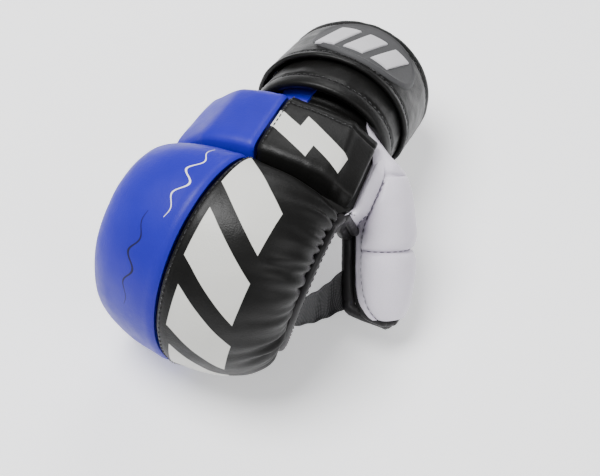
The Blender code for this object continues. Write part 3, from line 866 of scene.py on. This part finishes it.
def build_finger_loops():
    """Elastic rings with turned hems."""
    cosine, sine = turned(52.0)
    forward, out, side = Vector((sine, 0.0, -cosine)), Vector((cosine, 0.0, sine)), Vector((0.0, 1.0, 0.0))
    around, along = 64, 22
    wall, half_length = 0.0011, 0.0085

    def direction_at(index):
        cosine, sine = turned(360.0 * index / around)
        return out * cosine + side * sine

    for name in ("index", "middle", "ring", "little"):
        low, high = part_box(name + "_finger_loop")
        centre = 0.5 * (low + high)
        outer = 0.5 * (high.y - low.y)
        points = []
        for i, j in product(range(around), range(along)):
            run, bulge = turned(360.0 * j / along)
            run = clamp(run * 1.35, -1.0, 1.0)
            thick = wall * (0.55 + 0.35 * smooth(0.62, 0.78, abs(run))) * bulge
            pucker = 0.00025 * noise.noise(Vector((i * 0.7, run * 3.0, outer * 900.0)))
            radius = outer - wall * 0.5 + thick + pucker - 0.0005 * (1.0 - run * run)
            points.append(centre + direction_at(i) * radius + forward * (run * half_length))
        piece = make_piece(name + "_loop_band", points, ring_grid(around, along), "elastic", 60.0)
        finish(piece, "knuckle", (name + "_finger_loop",))
        for end, place in (("back", -0.70), ("front", 0.70)):
            path = [(centre + direction_at(i) * outer + forward * (place * half_length), direction_at(i))
                    for i in range(around + 1)]
            sew("%s_loop_hem_%s" % (name, end), [piece], path, "knuckle", size=SMALL_STITCH, slot="elastic")


# Back pad

def build_back():
    half = 1000.0 * BACK_HALF_WIDTH
    length = 1000.0 * (CREASE_X - WRIST_X)

    def place(a, b, c):
        spot = a * PAD_SHRINK, b * (PAD_SHRINK - 0.07 * max(0.0, b))
        facet = 1.0 - 0.55 * smooth(0.60, 1.0, abs(b)) ** 0.8
        height = BACK_DEPTH * mix(0.45, 1.0, crown(a, 5.0))
        height *= mix(0.50, 1.0, facet) * mix(0.9, 1.0, crown(b, 6.0))
        return back_surface(*spot) + normal_at(back_surface, *spot) * ((height - 0.001) * part_way(c))

    cushion = Cushion(place, (24, 34, 4), (0.7, 0.5, 0.0), 0.6 * PRESSURE, 0.0025)

    def panel(a, b):
        return length * part_way(a), half * b

    def height(a, b, c):
        u, v = panel(a, b)
        if c < -0.99:
            return 0.0
        seam = abs(v - half * BACK_SEAM)
        total = 0.3 * bell(seam - 3.6, 2.0) - 1.2 * bell(seam, 1.4)
        total -= 0.8 * bell(abs(u - 7.5), 0.9) * smooth(-6.0, -3.0, v)
        total += 0.7 * bell(v - 34.0 - 0.10 * (u - 20.0), 2.4)
        total += 0.30 * rumple(Vector((u, v, 4.0)), 13.0, 8.0)
        total -= 0.5 * bell(u - length, 3.0) * (0.5 + rumple(Vector((v, 0.0, 0.0)), 5.0, 2.0))
        return total * part_way(c) * MM

    halves = (("blue", "blue_leather", 46, ("back_cover_blue", "back_foam")),
              ("black", "black_back", 60, ("back_cover_black",)))
    made = add_halves("back_pad", "hand", cushion, lambda a: BACK_SEAM, height, panel, 64, 0.4, halves)
    seam = path_on(back_surface, steps(-0.94, 0.94, 40), [BACK_SEAM + 2.6 / half] * 41)
    sew("back_seam_stitches", made, seam, "hand")
    fold = path_on(back_surface, [-1.0 + 2.0 * 8.7 / length] * 41, steps(-0.06, 0.66, 40))
    sew("back_fold_stitches", made, fold, "hand")


def build_back_trim():
    add_lining("hand_lining", back_surface, (30, 46, 1), (0.2, 0.3, 0.0), "hand", (0.0005, 0.014, 1.0), 1.0)
    for name, b, material in (("ulnar", -1.0, "binding"), ("radial", 1.0, "white_leather")):
        rim = [back_rim(a, b, 0.0012, -0.0004) for a in steps(-0.92, 0.97, 8)]
        bind("back_%s_binding" % name, rim, 0.0021, "hand", (), material, 12)


def build_crease():
    """Folded leather at the bottom of the crease, so that no gap shows there."""
    for name, low, high in (("blue", -0.97, BACK_SEAM), ("black", BACK_SEAM, 0.97)):
        def place(a, b, c, low=low, high=high):
            across = mix(low, high, part_way(b))
            point = back_surface(0.93, across).lerp(knuckle_surface(-0.975, across), part_way(a))
            return point + Vector((0.0, 0.0, mix(0.0, 0.0021, part_way(c)) - 0.0012 * crown(a, 2.0)))

        hinge = [Vector((CREASE_X + ahead, MIDDLE_Y, CREASE_Z)) for ahead in (-0.0005, 0.0035)]
        fold = block("crease_fold_" + name, name + "_leather", place, (12, 30, 1))
        finish(fold, ("hand", "knuckle", *hinge))


# Wrist skin and palm heel, between the hand and the cuff

WRIST_BEND = ("hand", "cuff", WRIST + Vector((0.012, 0.0, 0.0)), WRIST - Vector((0.003, 0.0, 0.0)))


def build_wrist():
    def bridge(a, b, c, lift=0.0):
        across = mix(-0.96, 0.96, part_way(b))
        start = back_surface(-0.86, across) + Vector((0.0, 0.0, lift - 0.0020))
        end = cuff_point(0.16, mix(158.0, 22.0, part_way(across)), CUFF_INSIDE - 0.0002 + 0.6 * lift)
        t = part_way(a)
        point = start.lerp(end, t)
        out = Vector((0.0, point.y - WRIST.y, point.z - WRIST.z)).normalized()
        ribs = 0.00035 * math.cos(t * 5.0 * 2.0 * math.pi)
        return point + out * (0.0030 * math.sin(math.pi * t) + ribs + mix(-0.0008, 0.0008, part_way(c)))

    finish(block("wrist_skin", "black_leather", bridge, (40, 60, 1)), WRIST_BEND, ("wrist_bridge",))

    def tab(a, b, c):
        return bridge(a, mix(-0.36, 0.02, part_way(b)), c, 0.0016)

    finish(block("wrist_tab", "blue_leather", tab, (30, 20, 2), (0.0, 0.4, 0.0)), WRIST_BEND)


def heel_rim(b):
    """The front edge of the heel panel, from the back pad's one side under the hand to its other side."""
    if b < -0.80:
        return back_rim(-0.10, -1.0, 0.0, -0.0010).lerp(heel_point(1.0, -0.97, 0.0), smooth(-1.0, -0.80, b))
    if b > 0.72:
        return heel_point(1.0, 0.97, 0.0).lerp(back_rim(-0.80, 0.93, 0.0, -0.0020), smooth(0.72, 1.0, b))
    return heel_point(1.0, mix(-0.97, 0.97, (b + 0.80) / 1.52), 0.0)


def build_heel():
    def outward(point):
        return Vector((0.0, point.y - WRIST.y, point.z - 0.072)).normalized()

    def place(a, b, c):
        t = part_way(a)
        point = heel_rim(b).lerp(cuff_point(0.16, mix(160.0, 382.0, part_way(b)), CUFF_INSIDE), t)
        quilt = 0.0018 * abs(math.sin(math.pi * t * 2.0)) ** 0.7
        bow = 0.0032 * math.sin(math.pi * t)
        thick = mix(-0.0012, 0.0012 + quilt, part_way(c))
        return point + outward(point) * (bow + thick + 0.0004 * rumple(point, 0.008, 6.0))

    panel = block("heel_panel", "white_leather", place, (44, 120, 2), (0.2, 0.0, 0.0))
    finish(panel, WRIST_BEND, ("palm_heel_panel",))
    line = [place(0.0, b, 1.0) for b in steps(-0.96, 0.96, 90)]
    sew("heel_stitches", [panel], [(point, outward(point)) for point in line], WRIST_BEND, "grey_thread")
    rim = [heel_rim(b) + Vector((0.0012, 0.0, 0.0)) for b in steps(-0.98, 0.98, 22)]
    bind("heel_binding", rim, 0.0023, "hand", ("palm_heel_binding",), sides=12)


# Thumb

def thumb_seam(a):
    """Place round the thumb of its long seam, which leaves the rim towards the cuff."""
    return -0.75 + 0.29 * smooth(0.0, -1.0, a)


def thumb_seam_distance(a, b):
    """Distance to the nearest seam, in millimetres."""
    along = 0.5 * 1000.0 * (THUMB_TIP - THUMB_BASE).length
    across = 1000.0 * math.radians(THUMB_WRAP) * (THUMB_RADIUS + THUMB_DEPTH * 0.6)
    nearest = abs(b - thumb_seam(a)) * across
    return min(nearest, abs(a - THUMB_CROSS_A) * along) if b > thumb_seam(a) else nearest


def build_thumb():
    along = 1000.0 * (THUMB_TIP - THUMB_BASE).length
    across = 1000.0 * math.radians(THUMB_WRAP) * THUMB_RADIUS

    def place(a, b, c):
        spot = a * 0.98, b * 0.98
        full = mix(1.0, 0.55, smooth(thumb_seam(a) + 0.02, thumb_seam(a) - 0.10, b))
        height = THUMB_DEPTH * mix(0.48, 1.0, crown(a, 2.6) * crown(b, 2.6)) * full
        height -= 0.0034 * math.exp(-thumb_seam_distance(a, b) / 2.6)
        return thumb_surface(*spot) + normal_at(thumb_surface, *spot) * (max(height, 0.0022) * part_way(c))

    cushion = Cushion(place, (44, 44, 3), (0.3, 0.3, 0.0), PRESSURE, 0.0022,
                      lambda a, b, c: thumb_seam_distance(a, b) < 1.1)
    puckers = gathers(21, 16, 5.0, 5.0, 0.5)

    def height(a, b, c):
        u, v = along * part_way(a), across * b
        if c < -0.99:
            return 0.0
        total = -0.9 * bell(thumb_seam_distance(a, b), 0.8)
        total += 0.6 * gather_height(puckers, u, abs(b - thumb_seam(a)) * 1.7 * across)
        return (total + 0.25 * rumple(Vector((u, v, 9.0)), 9.0, 4.0)) * part_way(c) * MM

    piece = block("thumb_pad", "white_leather", cushion.point, (120, 110, 5), (0.25, 0.25, 0.0), height,
                  sharp=70.0)
    finish(piece, "thumb", ("thumb_cover", "thumb_foam_upper", "thumb_foam_lower"))
    rows = steps(-0.90, 0.93, 60)
    for name, path in (
            ("long", path_on(thumb_surface, rows, [thumb_seam(a) for a in rows])),
            ("cross", path_on(thumb_surface, [THUMB_CROSS_A] * 61,
                              steps(0.93, thumb_seam(THUMB_CROSS_A) + 0.03, 60)))):
        sew("thumb_%s_stitches" % name, [piece], path, "thumb", "grey_thread")


def build_thumb_trim():
    rim = [thumb_rim(a, -1.0, *THUMB_EDGE) for a in steps(WEB_END, 0.92, 9)]
    rim += [thumb_rim(1.0, b, *THUMB_EDGE) for b in steps(-0.70, 0.70, 5)]
    rim += [thumb_rim(a, 1.0, *THUMB_EDGE) for a in steps(0.92, -0.86, 12)]
    bind("thumb_rim_binding", rim, 0.0025, "thumb", ("thumb_binding",))
    inner = [thumb_rim(a, -1.0, *THUMB_EDGE) + THUMB_INWARD for a in steps(WEB_END, 0.84, 9)]
    inner += [thumb_rim(1.0, b, 0.0034, -0.0032) for b in steps(-0.80, 0.80, 4)]
    inner += [thumb_rim(a, 1.0, 0.0002, -0.0040) for a in (0.88, 0.76)]
    bind("thumb_inner_roll", inner, 0.0036, "thumb")
    add_lining("thumb_lining", thumb_surface, (44, 44, 1), (0.2, 0.2, 0.0), "thumb", (0.0004, 0.009, 7.0))

    def band(a, b, c):
        hem = smooth(0.70, 0.85, abs(a))
        radius = THUMB_RADIUS + mix(-0.0012, 0.0002 + 0.0003 * hem, part_way(c))
        radius += 0.0003 * math.cos(b * 30.0) * (1.0 - hem)
        return thumb_round(mix(0.30, 0.78, part_way(a)), -180.0 - b * (172.0 - THUMB_WRAP), radius)

    finish(block("thumb_loop_band", "elastic", band, (24, 50, 1)), "thumb", ("thumb_loop",))


# Web, palm band and thumb root, between the thumb and the rest

def build_web():
    """The web, and the rolled edge that runs from the knuckle pad over the web's corner to the thumb."""
    corner = 0.5 * (back_rim(0.98, 1.0, 0.0, 0.0) + knuckle_rim(-1.0, 1.0, 0.0, 0.0))

    def place(a, b, c):
        t = part_way(a)
        hand_edge = back_rim(mix(-1.0, 0.98, t), 1.0, 0.0004, 0.0010).lerp(corner, smooth(0.80, 1.0, t))
        thumb_a = mix(-0.96, WEB_END, t)
        thumb_b = mix(thumb_seam(thumb_a), -1.0, smooth(0.60, 1.0, t))
        thumb_edge = thumb_surface(thumb_a, thumb_b) + normal_at(thumb_surface, thumb_a, thumb_b) * 0.0030
        point = hand_edge.lerp(thumb_edge, part_way(b))
        sag = 0.0034 * crown(b, 2.0) * mix(1.0, 0.5, t) + 0.0005 * rumple(point, 0.010, 2.0)
        return point + WEB_OUT * (sag + mix(-0.0009, 0.0009, part_way(c)))

    bend = ("hand", "thumb", place(0.0, -0.9, 0.0), place(0.0, 0.9, 0.0))
    web = finish(block("thumb_web", "white_leather", place, (50, 40, 1)), bend, ("thumb_web_panel",))
    seam = [(place(a, 0.80, 1.0), WEB_OUT) for a in steps(-0.92, 0.80, 50)]
    sew("web_stitches", [web], seam, bend, "grey_thread")
    edge = [place(1.0, b, 0.0) for b in steps(-1.0, 1.0, 7)[:-1]]
    edge += [thumb_rim(a, -1.0, *THUMB_EDGE) for a in (WEB_END, WEB_END + 0.12)]
    inner = [point + THUMB_INWARD * min(1.0, 0.35 * step) for step, point in enumerate(edge)]
    for name, path, radius in (("web_binding", edge, 0.0026), ("web_inner_roll", inner, 0.0036)):
        bind(name, path, radius, ("hand", "thumb", edge[0], edge[-2]))
    link = [knuckle_rim(a, 1.0, *RIM) for a in (-0.88, -0.93)] + [edge[0].lerp(edge[1], 0.3)]
    bind("corner_binding", link, 0.0030, ("hand", "knuckle", link[-1], link[0]))


def build_thumb_root():
    """The small padded part from the thumb up into the cuff."""
    def place(a, b, c):
        t, across, rise = part_way(a), part_way(b), part_way(c)
        start = cuff_point(0.05, mix(32.0, -42.0, across), CUFF_INSIDE - 0.0016)
        spot = -0.90, mix(-0.62, 0.92, across)
        normal = normal_at(thumb_surface, *spot)
        end = thumb_surface(*spot) + normal * 0.0036
        out = (start - WRIST).normalized().lerp(normal, t).normalized()
        pad = 0.0026 * bell(t - 0.62, 0.20) * smooth(-0.70, -0.20, b) - 0.0012 * bell(t - 0.86, 0.05)
        lift = 0.0040 * math.sin(math.pi * t) + pad * rise + mix(-0.0010, 0.0010, rise)
        return start.lerp(end, t) + out * lift

    root = block("thumb_root", "white_leather", place, (50, 60, 2))
    finish(root, ("hand", "thumb", place(-0.2, 0.0, 0.0), place(1.0, 0.0, 0.0)))


def build_palm_band():
    """The cloth band between the knuckle pad and the thumb, sewn together from two lengths."""
    def place(along, across):
        spot = mix(-0.10, 0.20, across), 0.95
        start = knuckle_surface(*spot) - normal_at(knuckle_surface, *spot) * 0.0030
        end = thumb_rim(mix(0.25, 0.80, across), -1.0, *THUMB_EDGE) + THUMB_INWARD * 1.3
        sag = 0.0060 * math.sin(math.pi * along) + 0.0006 * math.sin(9.0 * math.pi * along)
        return start.lerp(end, along) - Vector((0.0, 0.0, sag))

    for name, first, last, outer in (("knuckle", 0.0, 0.5, 0.0), ("thumb", 0.5, 1.0, 1.0)):
        def band(a, b, c, first=first, last=last):
            thick = mix(-0.0008, 0.0004 + 0.0005 * smooth(0.80, 0.90, abs(b)), part_way(c))
            return place(mix(first, last, part_way(a)), part_way(b)) + Vector((0.6, 0.2, 0.8)) * thick

        piece = block("palm_band_" + name, "elastic", band, (30, 40, 1), (0.0, 0.3, 0.0))
        finish(piece, ("hand", name, place(0.5, 0.5), place(outer, 0.5)))


# Cuff

def cuff_profile(count_outer, count_inner, count_roll):
    """The cuff's section, as (place along in metres, offset) pairs round a closed loop."""
    points = []
    for x in steps(MOUTH_X, CUFF_LENGTH, count_outer):
        from_edge = min(x - MOUTH_X, CUFF_LENGTH - x)
        puff = 0.0012 * crown(2.0 * x / CUFF_LENGTH - 1.0, 2.0)
        hem = 0.0004 * bell(from_edge - 0.0020, 0.0020)
        points.append((x, puff + hem - 0.0011 * bell(from_edge - CHANNEL, 0.0011)))
    for x, first, last in ((CUFF_LENGTH, 90.0, -90.0), (MOUTH_X, 270.0, 90.0)):
        for angle in steps(first, last, count_roll)[1:-1]:
            cosine, sine = turned(angle)
            points.append((x + CUFF_ROLL * cosine, -CUFF_ROLL + CUFF_ROLL * sine))
        if x == CUFF_LENGTH:
            points += [(place, -CUFF_WALL) for place in steps(CUFF_LENGTH, MOUTH_X, count_inner)]
    return points


def build_cuff():
    profile = cuff_profile(64, 20, 10)
    around = 200
    points = []
    for index in range(around):
        angle = 360.0 * index / around
        for x, offset in profile:
            middle = smooth(0.0, 0.010, min(x - MOUTH_X, CUFF_LENGTH - x)) * smooth(-0.004, -0.001, offset)
            crumple = 0.0005 * noise.noise(Vector((x / 0.011, angle / 9.0, 0.0)))
            crumple -= 0.0016 * bell(angle - 268.0, 5.5)
            points.append(cuff_point(x / CUFF_LENGTH, angle, offset + crumple * middle))
    piece = make_piece("cuff_body", points, ring_grid(around, len(profile)), "black_leather", 70.0)
    finish(piece, "cuff", ("cuff_shell", "cuff_mouth_binding", "cuff_end_binding"))
    for name, x in (("mouth", MOUTH_X + CHANNEL), ("end", CUFF_LENGTH - CHANNEL)):
        sew("cuff_%s_stitches" % name, [piece], path_round(partial(cuff_point, x / CUFF_LENGTH),
                                                           steps(0.0, 360.0, 180)), "cuff")


def fuzz(a, b, seed):
    return 0.00012 * noise.noise(Vector((a * 60.0, b * 60.0, seed)))


def build_cuff_trim():
    around, half = 120, 25
    ends = 0.002, CUFF_LENGTH - 0.002
    points = []
    for index in range(around):
        angle = 360.0 * index / around
        points += [cuff_point(x / CUFF_LENGTH, angle, -CUFF_WALL - 0.0003) for x in steps(*ends, half - 1)]
        for x in steps(*ends[::-1], half - 1):
            wave = 0.0004 * noise.noise(Vector((x / 0.01, angle / 12.0, 3.0)))
            points.append(cuff_point(x / CUFF_LENGTH, angle, -CUFF_WALL - 0.0011 - wave))
    sleeve = make_piece("cuff_lining_sleeve", points, ring_grid(around, 2 * half), "lining", 60.0)
    finish(sleeve, "cuff", ("cuff_lining",))

    def gusset(a, b, c):
        x = mix(0.011, CUFF_LENGTH - 0.011, part_way(a))
        top = -0.0014 + 0.0004 * crown(b, 2.0) + 0.00035 * math.cos(part_way(a) * 26.0 * 2.0 * math.pi)
        return cuff_point(x / CUFF_LENGTH, mix(263.5, 272.5, part_way(b)), mix(-0.0030, top, part_way(c)))

    def loop_tape(a, b, c):
        along = mix(STRAP_FROM + 0.04, STRAP_TO - 0.04, part_way(a))
        height = 0.0010 + (TAPE_THICKNESS + fuzz(a, b, 0.0)) * part_way(c)
        return cuff_point(along, mix(140.0, 208.0, part_way(b)), height)

    finish(block("cuff_gusset_ribs", "elastic", gusset, (120, 8, 1)), "cuff", ("cuff_gusset",))
    finish(block("loop_tape", "tape", loop_tape, (40, 50, 1)), "cuff", ("cuff_loop_tape",))


# Strap

def strap_section(across):
    """Height of the strap's face at a place across it, from -1 to 1: turned edges and a stitched channel."""
    edge = 1.0 - abs(across)
    turned_edge, channel = 0.00055 * bell(edge - 0.07, 0.07), 0.0007 * bell(edge - 0.21, 0.035)
    return turned_edge - channel + 0.0003 * smooth(0.24, 0.5, edge)


def strap_point(across, angle, height):
    into_tip = clamp(1.0 - (STRAP_ANGLES[1] - angle) / 30.0)
    half = STRAP_HALF * max(0.35, math.sqrt(1.0 - into_tip ** 2 * 0.9))
    return cuff_point(STRAP_MIDDLE + across * half, angle, strap_rise(angle) + height)


def build_strap():
    for name, first, last, count, bodies, hinge, short, replaced in (
            ("lower", STRAP_ANGLES[0], STRAP_JOIN, 90, ("cuff", "strap_flap"), 7.0, 0.5,
             ("strap_root", "strap_flap")),
            ("upper", STRAP_JOIN, STRAP_ANGLES[1], 110, ("strap_flap", "strap_tip"), 119.0, 6.0,
             ("strap_tip",))):
        def place(a, b, c, first=first, last=last):
            angle = mix(first, last, part_way(b))
            creases = 0.00025 * noise.noise(Vector((a * 4.0, angle / 8.0, 1.0)))
            face = STRAP_THICKNESS + strap_section(a) + creases
            rounded = 0.0009 * (1.0 - crown(a, 8.0))
            return strap_point(a, angle, mix(rounded, face - rounded, part_way(c)))

        bend = (*bodies, strap_point(0.0, hinge - 5.0, 0.0), strap_point(0.0, hinge + 5.0, 0.0))
        piece = block("strap_" + name, "black_leather", place, (56, count, 2), (0.3, 0.0, 0.0), sharp=60.0)
        finish(piece, bend, replaced)
        for edge_name, across in (("inner", -0.79), ("outer", 0.79)):
            def above(angle, height, across=across):
                return strap_point(across, angle, STRAP_THICKNESS + height)

            path = path_round(above, steps(first + 1.0, last - short, 120))
            sew("strap_%s_%s_stitches" % (name, edge_name), [piece], path, bend)

    def hook_tape(a, b, c):
        angle = mix(150.0, 190.0, part_way(b))
        height = mix(-TAPE_THICKNESS - GAP - fuzz(a, b, 5.0), -GAP, part_way(c))
        return cuff_point(STRAP_MIDDLE + a * (STRAP_HALF - 0.08), angle, strap_rise(angle) + height)

    finish(block("hook_tape", "tape", hook_tape, (40, 40, 1)), "strap_tip", ("strap_hook_tape",))


# Badge on the strap

def badge_point(across, angle, height):
    return cuff_point(STRAP_MIDDLE + across * 0.80 * STRAP_HALF, angle,
                      strap_rise(angle) + STRAP_THICKNESS + height)


def build_badge():
    half_angle = 0.5 * (BADGE_ANGLES[1] - BADGE_ANGLES[0])
    centre_angle = 0.5 * (BADGE_ANGLES[1] + BADGE_ANGLES[0])

    def plate(reach, turn, upper):
        """A point of the oval: reach goes out from its middle, turn goes round it."""
        cosine, sine = turned(turn)
        across, along = (reach * share * abs(share) ** -0.12 if share else 0.0 for share in (sine, cosine))
        top = mix(0.0002, 0.0016, smooth(1.0, 0.93, reach)) + 0.0005 * bell(reach - 0.92, 0.035)
        return badge_point(across * 0.98, centre_angle + along * half_angle, top if upper else -0.0006)

    around, out = 120, 24
    points, faces = [], []
    for upper in (True, False):
        base = len(points)
        points.append(plate(0.0, -180.0, upper))
        points += [plate(step / out, -180.0 + 360.0 * index / around, upper)
                   for step in range(1, out + 1) for index in range(around)]
        layer = [[base + 1 + index for index in quad] for quad in ring_grid(out, around, False)]
        layer += [[base, base + 1 + index, base + 1 + (index + 1) % around] for index in range(around)]
        faces += layer if upper else [face[::-1] for face in layer]
    rim_top, rim_low = 1 + (out - 1) * around, 2 + (2 * out - 1) * around
    for index in range(around):
        following = (index + 1) % around
        faces.append([rim_top + index, rim_low + index, rim_low + following, rim_top + following])
    finish(make_piece("badge_plate", points, faces, "rubber", 60.0), "strap_flap", ("strap_badge",))

    for number, start in enumerate((42.0, 62.5, 83.0), start=1):
        def bar(a, b, c, start=start):
            soft = 0.0011 * crown(a, 8.0) * crown(b, 6.0)
            angle = start + 9.0 + 7.2 * b + 5.0 * a
            return badge_point(-0.12 - a * 0.55, angle, mix(0.0012, 0.0016 + soft, part_way(c)))

        finish(block("badge_stripe_%d" % number, "emblem", bar, (24, 16, 2), (0.6, 0.6, 0.0), sharp=60.0),
               "strap_flap", ("badge_bar_%d" % number,))


# Camera, floor and light

CAMERA_AZIMUTH = 113.0
CAMERA_ELEVATION = 54.0
CAMERA_DISTANCE = 0.75
CAMERA_LENS = 80.1
AIM = Vector((0.0016, 0.0031, 0.060))
AIM_DOWN = 0.0236
AIM_LEFT = 0.0028
FLOOR_HALF = 6.0


def add_object(name, data):
    thing = bpy.data.objects.new(name, data)
    bpy.context.scene.collection.objects.link(thing)
    return thing


def build_camera():
    azimuth_cosine, azimuth_sine = turned(CAMERA_AZIMUTH)
    rise_cosine, rise_sine = turned(CAMERA_ELEVATION)
    back = Vector((azimuth_sine * rise_cosine, -azimuth_cosine * rise_cosine, rise_sine))
    right = Vector((azimuth_cosine, azimuth_sine, 0.0))
    place = AIM + back * CAMERA_DISTANCE
    look = place - (AIM - back.cross(right) * AIM_DOWN - right * AIM_LEFT)
    lens = bpy.data.cameras.new("camera")
    lens.lens = CAMERA_LENS
    lens.sensor_width = 36.0
    lens.clip_start = 0.01
    camera = add_object("camera", lens)
    camera.location = place
    camera.rotation_euler = look.to_track_quat("Z", "Y").to_euler()
    bpy.context.scene.camera = camera


def build_floor():
    mesh = bpy.data.meshes.new("floor")
    corners = [(x * FLOOR_HALF, y * FLOOR_HALF, 0.0) for x, y in ((-1, -1), (1, -1), (1, 1), (-1, 1))]
    mesh.from_pydata(corners, [], [[0, 1, 2, 3]])
    material = bpy.data.materials.new("floor")
    material.use_nodes = True
    sockets = material.node_tree.nodes["Principled BSDF"].inputs
    for socket, value in (("Base Color", (0.93, 0.93, 0.94, 1.0)), ("Roughness", 0.9),
                          ("Emission Color", (1.0, 1.0, 1.0, 1.0)), ("Emission Strength", 0.50)):
        sockets[socket].default_value = value
    mesh.materials.append(material)
    add_object("floor", mesh)


def build_lights():
    for name, position, size, power in (("key", (0.15, -0.40, 1.45), 0.8, 36.0),
                                        ("fill", (0.50, 1.20, 0.85), 0.9, 7.0),
                                        ("back_light", (-1.3, -0.2, 1.2), 0.9, 12.0)):
        light = bpy.data.lights.new(name, "AREA")
        light.shape = "DISK"
        light.size = size
        light.energy = power
        lamp = add_object(name, light)
        lamp.location = position
        lamp.rotation_euler = (Vector(position) - Vector((0.0, 0.0, 0.06))).to_track_quat("Z", "Y").to_euler()
    world = bpy.data.worlds.new("studio")
    world.use_nodes = True
    sky = world.node_tree.nodes["Background"].inputs
    sky["Color"].default_value = (0.95, 0.96, 1.0, 1.0)
    sky["Strength"].default_value = 0.34
    bpy.context.scene.world = world


# Everything in place

for build in (build_knuckle, build_knuckle_trim, build_finger_loops, build_back, build_back_trim,
              build_crease, build_wrist, build_heel, build_thumb, build_thumb_trim, build_web,
              build_thumb_root, build_palm_band, build_cuff, build_cuff_trim, build_strap, build_badge,
              build_camera, build_floor, build_lights):
    build()
